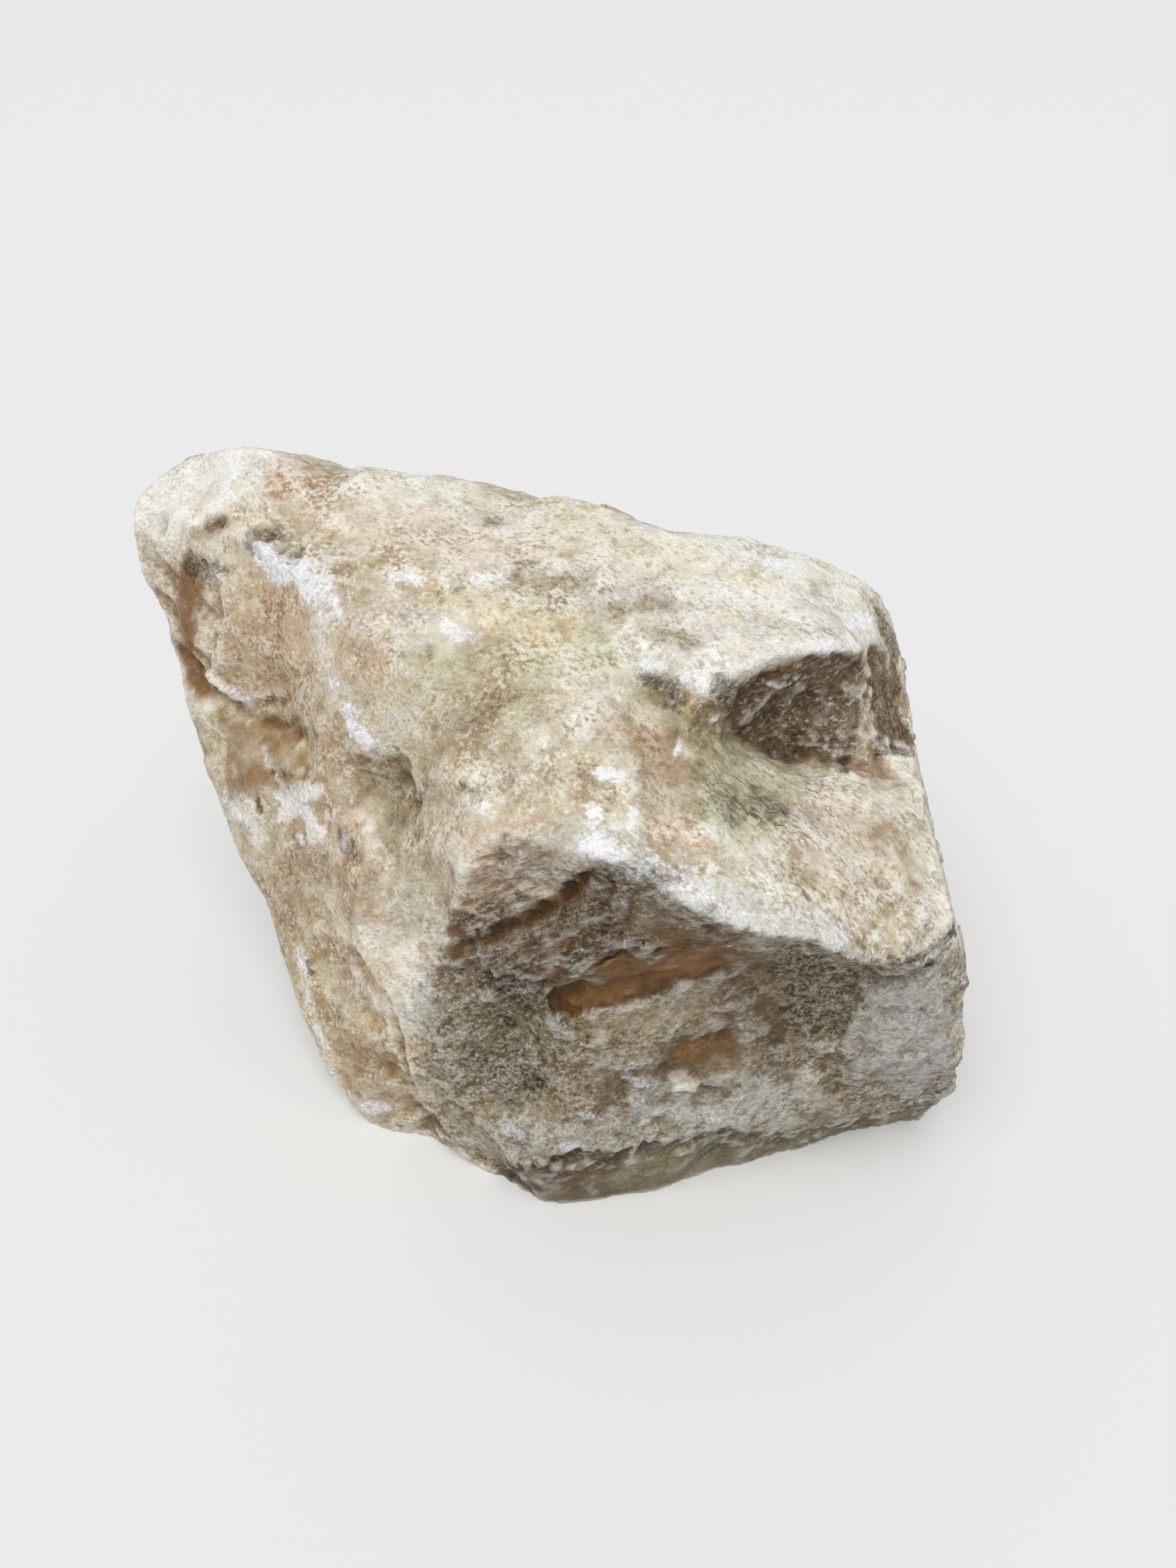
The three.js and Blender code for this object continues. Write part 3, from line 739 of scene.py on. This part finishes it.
# The right hollow lies under the brow and is darkened with painted shade as well as crumb.
lay(right_hollow, crumb=0.6, olive=0.7, ochre=0.6, shade=0.45)
HOLLOW_STAINS = {
    "crumb": (
        (0.2, (545, 1280), (640, 1285), (712, 1300), (712, 1400), (660, 1430), (590, 1400)),
        (0.95, (610, 1350), (650, 1340), (690, 1380), (660, 1410), (617, 1400)),
    ),
}
lay_all(HOLLOW_STAINS)
pale_corner = patch(
    (1100, 1270), (1220, 1230), (1236, 1300), (1226, 1390), (1180, 1415), (1090, 1390),
    edge=70, ragged=45,
)
lay(pale_corner, grey=0.2, pale=1.0, pink=0.35, chalk=0.45)
CORNER_SIDE = ((1098, 1236), (1105, 1290), (1085, 1325), (1072, 1350))
CORNER_TOP = ((1092, 1234), (1118, 1250), (1150, 1262), (1180, 1252), (1200, 1234), (1238, 1196))
rise += drop(2.2, 34, *CORNER_SIDE)
rise += drop(2.2, 30, *CORNER_TOP, ragged=0.5)
rise -= 1.2 * stroke(2.0, (1136, 1264), (1165, 1262), (1196, 1244), ragged=0.1)
cleft_crumb = stroke(2.0, (1136, 1262), (1165, 1256), (1196, 1240), ragged=0.1)
lay(cleft_crumb, crumb=1.0)
flaky_end = patch((1060, 1195), (1100, 1150), (1190, 1140), (1245, 1190), (1200, 1245), (1110, 1250))
rise += 1.2 * flaky_end * facets(7, (1, 0.2, 0.1), 1.6)
crack = stroke(1.5, (1120, 1236), (1150, 1240), (1180, 1232), (1206, 1216), (1232, 1190), ragged=0.6)
rise -= 0.8 * crack
lay(crack, crumb=0.7)
corner_vein = stroke(4.0, (1180, 1280), (1200, 1300), (1228, 1296), ragged=0.8)
lay(corner_vein, brown=0.5)
corner_crumb = stroke(2.0, (1112, 1262), (1120, 1300), (1108, 1340), ragged=0.8)
lay(corner_crumb, crumb=0.5)


# ---------------------------------------------------------------------------------------------
# The undercut foot. The lowest band of the front slopes back under the stone. It is smooth, khaki-coloured,
# and kept the dust of the ground, and it is darkened with painted shade where it turns under.

foot = patch(
    (640, 1500), (681, 1497), (776, 1485), (858, 1467), (949, 1460), (1040, 1458), (1131, 1434),
    (1240, 1400), (1230, 1470), (900, 1560), (640, 1580), edge=10, ragged=6,
)
lay(foot, grey=0.9, olive=0.8, shade=0.9)
foot_left = patch((640, 1500), (700, 1497), (790, 1490), (800, 1560), (640, 1580))
lay(foot_left, brown=1.0)
FOOT_EDGE = (
    (640, 1502), (700, 1496), (780, 1484), (858, 1465), (949, 1458), (1040, 1456), (1131, 1431), (1225, 1405),
)
rise += drop(2.0, 40, *FOOT_EDGE)
smooth = np.maximum(smooth, 0.6 * foot)


# ---------------------------------------------------------------------------------------------
# The far sides. They broke in the same way and carry the same stains: honey seams in brown
# bands, clouds of pink, ochre, grey and chalk, and crumb in the rotted places.

SEAM_BED = (0.75, 0.45, -0.48)
SEAM_LEVEL = 0.12  # the seams run where their cloud has this value

hidden = 1 - in_sight
from_seam = np.abs(cloud(42, 3, SEAM_BED, 4) - SEAM_LEVEL)
rotted = soft(cloud(55, 3) - 0.15, 0.5)
lay(hidden * soft(cloud(45, 2) - 0.05, 0.4), pink=0.8)
lay(hidden * soft(cloud(38, 2, SEAM_BED, 2) - 0.15, 0.4), ochre=0.6)
lay(hidden * soft(0.10 - from_seam, 0.09) * soft(cloud(70, 1) + 0.1, 0.4), honey=0.55)
lay(hidden * soft(0.35 - from_seam, 0.3), brown=0.7)
lay(hidden * rotted, olive=0.4, crumb=0.42)
lay(hidden * soft(cloud(33, 2) - 0.2, 0.4), grey=0.4)
lay(hidden * soft(cloud(30, 4, SEAM_BED, 2) - 0.4, 0.3), chalk=0.5)


# ---------------------------------------------------------------------------------------------
# The grain. The crystals lie in beds, which run down to the right on the top, upright on the
# left side and aslant on the front. Flakes step up along them, and the rotten places stay rough.

TOP_BED = (0.80, -0.50, -0.33)
FRONT_BED = (0.78, -0.24, 0.58)
SIDE_BED = (0.15, -0.25, 0.95)
FLAKE_STRETCH = 1.8  # flakes are this many times longer along their bed
GROUND = 0.8  # what lies lower than this stands on the bench

# The front below the brow. Its colour is darkened with painted shade, and its breaks and flakes stand higher.
under_brow = patch(
    (555, 1225), (590, 1195), (650, 1160), (735, 1130), (800, 1105), (850, 1135), (960, 1200),
    (1090, 1235), (1240, 1225), (1240, 1410), (1100, 1460), (850, 1490), (640, 1515), (550, 1440),
    (535, 1340), edge=40, ragged=25,
)
# Faces that turn to the front, and the steep faces of the far sides. Their colour is darkened with painted
# shade, and they carry more relief.
front = soft(-outward[:, 1] - 0.5 * outward[:, 2] - 0.15, 0.4)
front = rubbed(np.maximum(front, hidden * soft(0.6 - outward[:, 2], 0.4)), 6)
side = rubbed(soft(-outward[:, 0] - 0.45, 0.3), 6)
roughness = 1 - 0.8 * smooth
crumbly = np.clip(1.5 * stain_and_shade["crumb"], 0, 1)
granular = np.maximum(0.8 * pale_corner, 0.5 * stain_and_shade["pale"] * front * under_brow)

top_fibres, front_fibres, side_fibres = (
    cloud(5, 4, bed, 3) for bed in (TOP_BED, FRONT_BED, SIDE_BED)
)
fibres = (top_fibres * (1 - front) + front_fibres * front) * (1 - side) + side_fibres * side
breaks = facets(14, FRONT_BED, FLAKE_STRETCH)
flakes = facets(5, FRONT_BED, FLAKE_STRETCH)
break_height = 0.4 + 0.2 * front + 0.8 * under_brow
flake_height = 0.22 + 0.1 * front + 0.4 * under_brow
fibre_height = 0.05 + 0.2 * front
crumb_height = 0.03 + 1.5 * crumbly
rise += roughness * (0.2 * cloud(21, 2) + break_height * breaks)
rise += hidden * (1.3 * facets(26, SEAM_BED, 1.5) + 0.5 * breaks)
rise += roughness * (flake_height * flakes + fibre_height * fibres)
rise += crumb_height * roughness * cloud(4.2, 2)
rise += granular * (1.6 * facets(9) + 0.6 * facets(4)) + 0.6 * striped * fibres

cad_low, cad_high = (np.array(far_corner) * METRE for far_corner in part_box("calcite_boulder"))
settled = np.clip(skin + outward * rise[:, None], cad_low, cad_high)
settled[:, 2] = np.where(skin[:, 2] < GROUND, 0, settled[:, 2])
skin = settled
outward = facing(skin)

# How far each place lies in a small hollow, and in a deep one. The deep hollows are darkened with painted
# shade.
for name, evening, deepest in (("hollow", 10, 1.6), ("deep_shade", 60, 6.0)):
    depth = ((rubbed(skin, evening) - skin) * outward).sum(1)
    stain_and_shade[name] = np.clip(0.5 + depth / deepest, 0, 1)
gritty = np.maximum(crumbly, granular) + 0.35 * np.maximum(under_brow, 0.6 * hidden * front)
gritty = np.clip(gritty, 0, 1) * (roughness * (1 - 0.7 * shaded_notch_face))
stain_and_shade.update(smooth=smooth, front=front, side=side, under=under_brow, rough=gritty, striped=striped)
for name, amount in stain_and_shade.items():
    layer = block.attributes.new(name, "FLOAT", "POINT")
    layer.data.foreach_set("value", amount.astype(np.float32))
for face in block.polygons:
    face.use_smooth = True


# ---------------------------------------------------------------------------------------------
# The calcite itself: sugary, cream to tan, with white flecks standing up and brown dust between
# the grains. The stains tint it, and honey windows are clearer and smoother.

calcite = bpy.data.materials.new("calcite")
calcite.use_nodes = True
tree = calcite.node_tree
tree.nodes.clear()


def node(kind, inputs=None, **settings):
    """A node of the finish, with its settings, and its inputs given as values or joined sockets."""
    made = tree.nodes.new(kind)
    for key, value in settings.items():
        setattr(made, key, value)
    for key, value in (inputs or {}).items():
        if isinstance(value, bpy.types.NodeSocket):
            tree.links.new(value, made.inputs[key])
        else:
            made.inputs[key].default_value = value
    return made


def sum_of(a, b, by=1.0):
    """a + b * by"""
    return node("ShaderNodeMath", {0: b, 1: by, 2: a}, operation="MULTIPLY_ADD").outputs[0]


def product(a, b):
    """a * b"""
    return node("ShaderNodeMath", {0: a, 1: b}, operation="MULTIPLY").outputs[0]


def ramp(value, low, high, to_low=0.0, to_high=1.0):
    """The value, spread so that low becomes to_low and high becomes to_high."""
    made = node(
        "ShaderNodeMapRange",
        {"Value": value, "From Min": low, "From Max": high, "To Min": to_low, "To Max": to_high},
        interpolation_type="SMOOTHSTEP",
    )
    return made.outputs[0]


def toned(value, *tones):
    """A colour for each value, blended between these tones. Each has its place and its colour."""
    made = node("ShaderNodeValToRGB", {"Fac": value})
    stops = made.color_ramp.elements
    for stop, tone in zip(stops, (tones[0], tones[-1])):
        stop.position, stop.color = tone
    for at, tint in tones[1:-1]:
        stops.new(at).color = tint
    return made.outputs["Color"]


def tinted(colour, share, strength, tint, how="MIX"):
    """The colour with a tint laid over it, by a share from 0 to 1 of this strength."""
    laid = product(share, strength)
    made = node("ShaderNodeMix", {0: laid, 6: colour, 7: tint}, data_type="RGBA", blend_type=how)
    return made.outputs[2]


def amount_of(name):
    """How much of a stain there is, or how far a place is smooth, rough, hollow and so on."""
    return node("ShaderNodeAttribute", attribute_name=name).outputs["Fac"]


def where_rough(limit):
    """1 on rough stone, falling to 0 where it is as smooth as this limit."""
    return ramp(amount_of("smooth"), limit, 0.0)


where = node("ShaderNodeTexCoord").outputs["Object"]


def drawn_out(stretch, bed):
    """The place on the stone, in a measure that is this many times longer along a bed."""
    turn = Vector(bed).to_track_quat("X", "Z").to_euler()
    inputs = {"Vector": where, "Rotation": turn, "Scale": (stretch, 1, 1)}
    return node("ShaderNodeMapping", inputs, vector_type="TEXTURE").outputs[0]


def bedded(size, stretch, detail, roughness, bed=FRONT_BED):
    """Noise of this many millimetres, drawn out along a bed."""
    inputs = {
        "Vector": drawn_out(stretch, bed),
        "Scale": METRE / size,
        "Detail": detail,
        "Roughness": roughness,
    }
    return node("ShaderNodeTexNoise", inputs).outputs[0]


def grained(size, stretch, detail, roughness):
    """Noise drawn out along each bed, each on the faces where that bed lies."""
    top, broken, upright = (
        bedded(size, stretch, detail, roughness, bed) for bed in (TOP_BED, FRONT_BED, SIDE_BED)
    )
    laid = node("ShaderNodeMix", {0: amount_of("front"), 2: top, 3: broken}).outputs[0]
    return node("ShaderNodeMix", {0: amount_of("side"), 2: laid, 3: upright}).outputs[0]


def vector_math(operation, *inputs):
    """A node that reckons with places or directions."""
    return node("ShaderNodeVectorMath", dict(enumerate(inputs)), operation=operation).outputs


def jostled(place, size, by):
    """A place on the stone, shaken by this many millimetres, so that crystals grow ragged."""
    shaken = node("ShaderNodeTexNoise", {"Vector": place, "Scale": METRE / size, "Detail": 2.0})
    return vector_math("MULTIPLY_ADD", shaken.outputs["Color"], (by / METRE,) * 3, place)[0]


def crystals(place, size):
    """Crystals of this many millimetres: a number for each, and the height of its tipped face."""
    cells = node("ShaderNodeTexVoronoi", {"Vector": place, "Scale": METRE / size}).outputs
    from_middle = vector_math("SUBTRACT", place, cells["Position"])[0]
    tip = vector_math("SUBTRACT", cells["Color"], (0.5, 0.5, 0.5))[0]
    height = vector_math("DOT_PRODUCT", from_middle, tip)["Value"]
    number = node("ShaderNodeSeparateColor", {0: cells["Color"]}).outputs[0]
    return number, height


def spread(value, by):
    """How far a noise lies from its middle, times this."""
    return sum_of(-0.5 * by, value, by)


def speckled(name, low=0.45, high=0.85, fine_share=1.1, wide_share=0.9):
    """A stain's amount, thinned out to specks towards its edge by the grain."""
    amount = sum_of(amount_of(name), spread(flake, fine_share))
    return ramp(sum_of(amount, spread(blotch, wide_share)), low, high)


mottle = bedded(24, 1.6, 3.0, 0.55)
blotch = bedded(8, 1.5, 4.0, 0.6)
flake = grained(1.3, 1.4, 4.0, 0.68)
scale = grained(3.6, 1.5, 4.0, 0.65)
grit = bedded(0.8, 1.2, 2.0, 0.6)
stripes = bedded(1.3, 5.0, 3.0, 0.6)
cluster = bedded(11, 1.4, 4.0, 0.65, TOP_BED)
crystal, cleavage = crystals(jostled(where, 1.6, 1.2), 1.3)
chip, chip_face = crystals(jostled(drawn_out(2.0, FRONT_BED), 4.0, 3.5), 4.2)
layers = grained(7.0, 1.6, 5.0, 0.62)
steps = sum_of(ramp(layers, 0.455, 0.475), ramp(layers, 0.515, 0.535))
steps = sum_of(steps, ramp(layers, 0.575, 0.595))

# The bare stone, from the tan of its low grains to the white of its high ones.
tone = sum_of(sum_of(0.5, spread(mottle, 1.2)), spread(blotch, 0.75))
tone = sum_of(sum_of(tone, spread(scale, 0.4)), spread(flake, 0.7))
tone = sum_of(sum_of(tone, spread(crystal, 0.06)), spread(chip, 0.04))
tone = sum_of(sum_of(tone, steps, 0.03), -0.04)
colour = toned(
    tone,
    (0.24, (0.43, 0.33, 0.21, 1)),
    (0.38, (0.60, 0.51, 0.37, 1)),
    (0.50, (0.71, 0.65, 0.51, 1)),
    (0.64, (0.79, 0.75, 0.64, 1)),
    (0.80, (0.87, 0.85, 0.78, 1)),
)
WORN_WHITE = (0.88, 0.86, 0.80, 1)
colour = tinted(colour, speckled("pale", 0.1, 1.0), 0.8, WORN_WHITE)

# White flecks, in clusters and on the high grains.
where_flecked = sum_of(sum_of(flake, spread(cluster, 0.6)), spread(scale, 0.4))
where_flecked = sum_of(where_flecked, amount_of("hollow"), -0.12)
FLECK_WHITE = (0.89, 0.88, 0.82, 1)
colour = tinted(colour, product(ramp(where_flecked, 0.46, 0.54), where_rough(0.6)), 0.6, FLECK_WHITE)

# The soft stains and painted shade. The shade tint, part of the brown one, and the darker tints of the steep
# front faces and of the front below the brow are painted shade; the left faces get a pinker tone. Each has
# its tint and its strength.
STAIN_AND_SHADE_TINTS = {
    "pink": ((0.97, 0.82, 0.75, 1), 0.7),
    "ochre": ((0.99, 0.92, 0.72, 1), 0.7),
    "olive": ((0.72, 0.75, 0.58, 1), 0.75),
    "grey": ((0.78, 0.81, 0.82, 1), 0.7),
    # painted shade on the steep front faces
    "front": ((0.88, 0.83, 0.76, 1), 0.8),
    "side": ((0.95, 0.88, 0.83, 1), 0.6),
    # painted shade on the front below the brow
    "under": ((0.61, 0.58, 0.52, 1), 0.85),
    # brown stain, and painted shade where it darkens shaded faces
    "brown": ((0.60, 0.49, 0.40, 1), 0.85),
    "shade": ((0.42, 0.37, 0.31, 1), 0.95),
}
for name, (tint, strength) in STAIN_AND_SHADE_TINTS.items():
    amount = sum_of(amount_of(name), spread(blotch, 1.4))
    # Pale calcite is kept out of the painted shade of the front.
    if name in ("front", "under"):
        amount = sum_of(amount, amount_of("pale"), -1.0)
    colour = tinted(colour, ramp(amount, -0.1, 1.0), strength, tint, "MULTIPLY")

# Worn high spots, painted glints of single crystals on the front faces, and dust between the grains.
colour = tinted(colour, ramp(amount_of("hollow"), 0.5, 0.15), 0.42, WORN_WHITE)
painted_glint = ramp(sum_of(crystal, spread(flake, 1.6)), 0.90, 0.98)
painted_glint = product(product(painted_glint, amount_of("front")), ramp(amount_of("smooth"), 0.4, 0.0, 0.15, 1.0))
PAINTED_GLINT_WHITE = (0.90, 0.87, 0.80, 1)
colour = tinted(colour, painted_glint, 0.4, PAINTED_GLINT_WHITE)
where_dusty = sum_of(sum_of(flake, spread(cluster, -0.5)), spread(scale, 0.5))
DUST_BROWN = (0.58, 0.51, 0.41, 1)
colour = tinted(
    colour, product(ramp(where_dusty, 0.44, 0.34), where_rough(0.8)), 0.55, DUST_BROWN, "MULTIPLY"
)

# Dark and light grains on the rough places.
pepper = product(ramp(sum_of(flake, spread(scale, 0.5)), 0.52, 0.42), amount_of("rough"))
pepper = product(pepper, ramp(amount_of("pale"), 0.0, 1.0, 1.0, 0.35))
PEPPER_BROWN = (0.42, 0.38, 0.32, 1)
colour = tinted(colour, pepper, 0.75, PEPPER_BROWN, "MULTIPLY")
salt = product(ramp(sum_of(flake, spread(grit, 0.5)), 0.54, 0.59), amount_of("rough"))
SALT_WHITE = (0.86, 0.82, 0.73, 1)
colour = tinted(colour, salt, 0.65, SALT_WHITE)

# Painted shade along the foot of the broken steps, and the stripes of the shoulder.
step_foot_shade = product(ramp(layers, 0.43, 0.455), ramp(layers, 0.475, 0.455))
step_foot_shade = sum_of(step_foot_shade, product(ramp(layers, 0.55, 0.575), ramp(layers, 0.595, 0.575)))
step_foot_shade = product(product(step_foot_shade, ramp(blotch, 0.47, 0.58)), where_rough(0.6))
STEP_SHADE_BROWN = (0.50, 0.42, 0.34, 1)
colour = tinted(colour, step_foot_shade, 0.35, STEP_SHADE_BROWN, "MULTIPLY")
dark_stripe = product(ramp(stripes, 0.56, 0.42), amount_of("striped"))
STRIPE_BROWN = (0.50, 0.42, 0.36, 1)
colour = tinted(colour, dark_stripe, 0.5, STRIPE_BROWN, "MULTIPLY")
light_stripe = product(ramp(stripes, 0.54, 0.62), amount_of("striped"))
STRIPE_CREAM = (0.72, 0.66, 0.58, 1)
colour = tinted(colour, light_stripe, 0.45, STRIPE_CREAM)

# Honey calcite, then darker colour in the small hollows, painted shade in the deep ones, crumb in the rotten
# places, and chalk over all.
honey_tone = toned(
    sum_of(product(blotch, 0.6), flake, 0.4),
    (0.36, (0.12, 0.05, 0.010, 1)),
    (0.66, (0.31, 0.15, 0.036, 1)),
)
colour = tinted(colour, speckled("honey", 0.15, 1.0, 0.8, 1.0), 0.92, honey_tone)
hollow_darkening = ramp(sum_of(amount_of("hollow"), spread(flake, 0.6)), 0.5, 0.9)
HOLLOW_BROWN = (0.57, 0.47, 0.37, 1)
colour = tinted(colour, hollow_darkening, 0.68, HOLLOW_BROWN, "MULTIPLY")
# Painted shade in the deep hollows.
DEEP_SHADE_BROWN = (0.62, 0.55, 0.46, 1)
colour = tinted(colour, ramp(amount_of("deep_shade"), 0.5, 1.0), 0.6, DEEP_SHADE_BROWN, "MULTIPLY")
crumb_tone = toned(
    sum_of(product(grit, 0.5), flake, 0.5),
    (0.41, (0.085, 0.065, 0.042, 1)),
    (0.59, (0.72, 0.63, 0.48, 1)),
)
colour = tinted(colour, speckled("crumb", 0.2, 1.0), 0.8, crumb_tone)
whitened = ramp(sum_of(amount_of("chalk"), spread(blotch, 1.2)), 0.05, 1.1)
CHALK_HAZE = (0.86, 0.86, 0.87, 1)
colour = tinted(colour, whitened, 0.5, CHALK_HAZE)
chalked = product(ramp(amount_of("chalk"), 0.05, 0.4), speckled("chalk", 0.45, 1.05, 2.6, 1.6))
CHALK_WHITE = (0.93, 0.93, 0.95, 1)
colour = tinted(colour, chalked, 0.8, CHALK_WHITE)

# The relief of the grain, which is finer than the mesh.
CRYSTAL_RELIEF = METRE / 1.8  # one unit of height is 1.8 mm of a crystal's face
GRAIN_DEPTH = 0.0020  # metres
height = sum_of(sum_of(flake, scale, 1.2), grit, 0.25)
height = sum_of(sum_of(height, cleavage, CRYSTAL_RELIEF), chip_face, CRYSTAL_RELIEF / 2)
height = sum_of(height, steps, 0.12)
height = sum_of(height, product(amount_of("striped"), stripes), 2.0)
coarse = sum_of(sum_of(0.4, amount_of("front"), 0.2), amount_of("rough"), 1.2)
coarse = sum_of(coarse, amount_of("under"), 0.4)
relief = product(coarse, ramp(amount_of("smooth"), 0.0, 1.0, 1.0, 0.35))
bump = node(
    "ShaderNodeBump",
    {"Height": product(height, relief), "Distance": GRAIN_DEPTH, "Strength": 1.0},
)
finish = node(
    "ShaderNodeBsdfPrincipled",
    {
        "Base Color": colour,
        "Roughness": ramp(amount_of("smooth"), 0.0, 1.0, 0.88, 0.6),
        "Normal": bump.outputs[0],
        "IOR": 1.5,
        "Specular IOR Level": 0.35,
    },
)
node("ShaderNodeOutputMaterial", {"Surface": finish.outputs[0]})
block.materials.append(calcite)

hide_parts("calcite_boulder")
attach(stone, "root")


# ---------------------------------------------------------------------------------------------
# The bench and the light. A plain pale bench top, painted and dull, far wider than the stone.
# Soft light falls on it from above and in front, and fainter daylight from all around.

BENCH = 60.0  # metres from its middle to its edges
BENCH_COLOUR = (0.74, 0.74, 0.73, 1)
BENCH_DULLNESS = 0.9
SKY_FROM = Vector((-0.12, -0.60, 1.0))
SKY_SOFTNESS = math.radians(50)
SKY_STRENGTH = 2.5
DAYLIGHT_COLOUR = (0.97, 0.98, 1.0, 1)
DAYLIGHT_STRENGTH = 0.46

bench_mesh = bpy.data.meshes.new("bench")
bench_mesh.from_pydata(
    [(-BENCH, -BENCH, 0), (BENCH, -BENCH, 0), (BENCH, BENCH, 0), (-BENCH, BENCH, 0)],
    [],
    [(0, 1, 2, 3)],
)
bench = bpy.data.objects.new("bench", bench_mesh)
bpy.context.scene.collection.objects.link(bench)
paint = bpy.data.materials.new("bench_paint")
paint.use_nodes = True
paint_finish = paint.node_tree.nodes["Principled BSDF"]
paint_finish.inputs["Base Color"].default_value = BENCH_COLOUR
paint_finish.inputs["Roughness"].default_value = BENCH_DULLNESS
bench_mesh.materials.append(paint)

sky = bpy.data.lights.new("sky", "SUN")
sky.angle = SKY_SOFTNESS
sky.energy = SKY_STRENGTH
sky_light = bpy.data.objects.new("sky", sky)
sky_light.rotation_euler = SKY_FROM.to_track_quat("Z", "Y").to_euler()
bpy.context.scene.collection.objects.link(sky_light)
daylight = bpy.data.worlds.new("daylight")
daylight.use_nodes = True
background = daylight.node_tree.nodes["Background"]
background.inputs["Color"].default_value = DAYLIGHT_COLOUR
background.inputs["Strength"].default_value = DAYLIGHT_STRENGTH
bpy.context.scene.world = daylight
bpy.context.scene.view_settings.view_transform = "Standard"
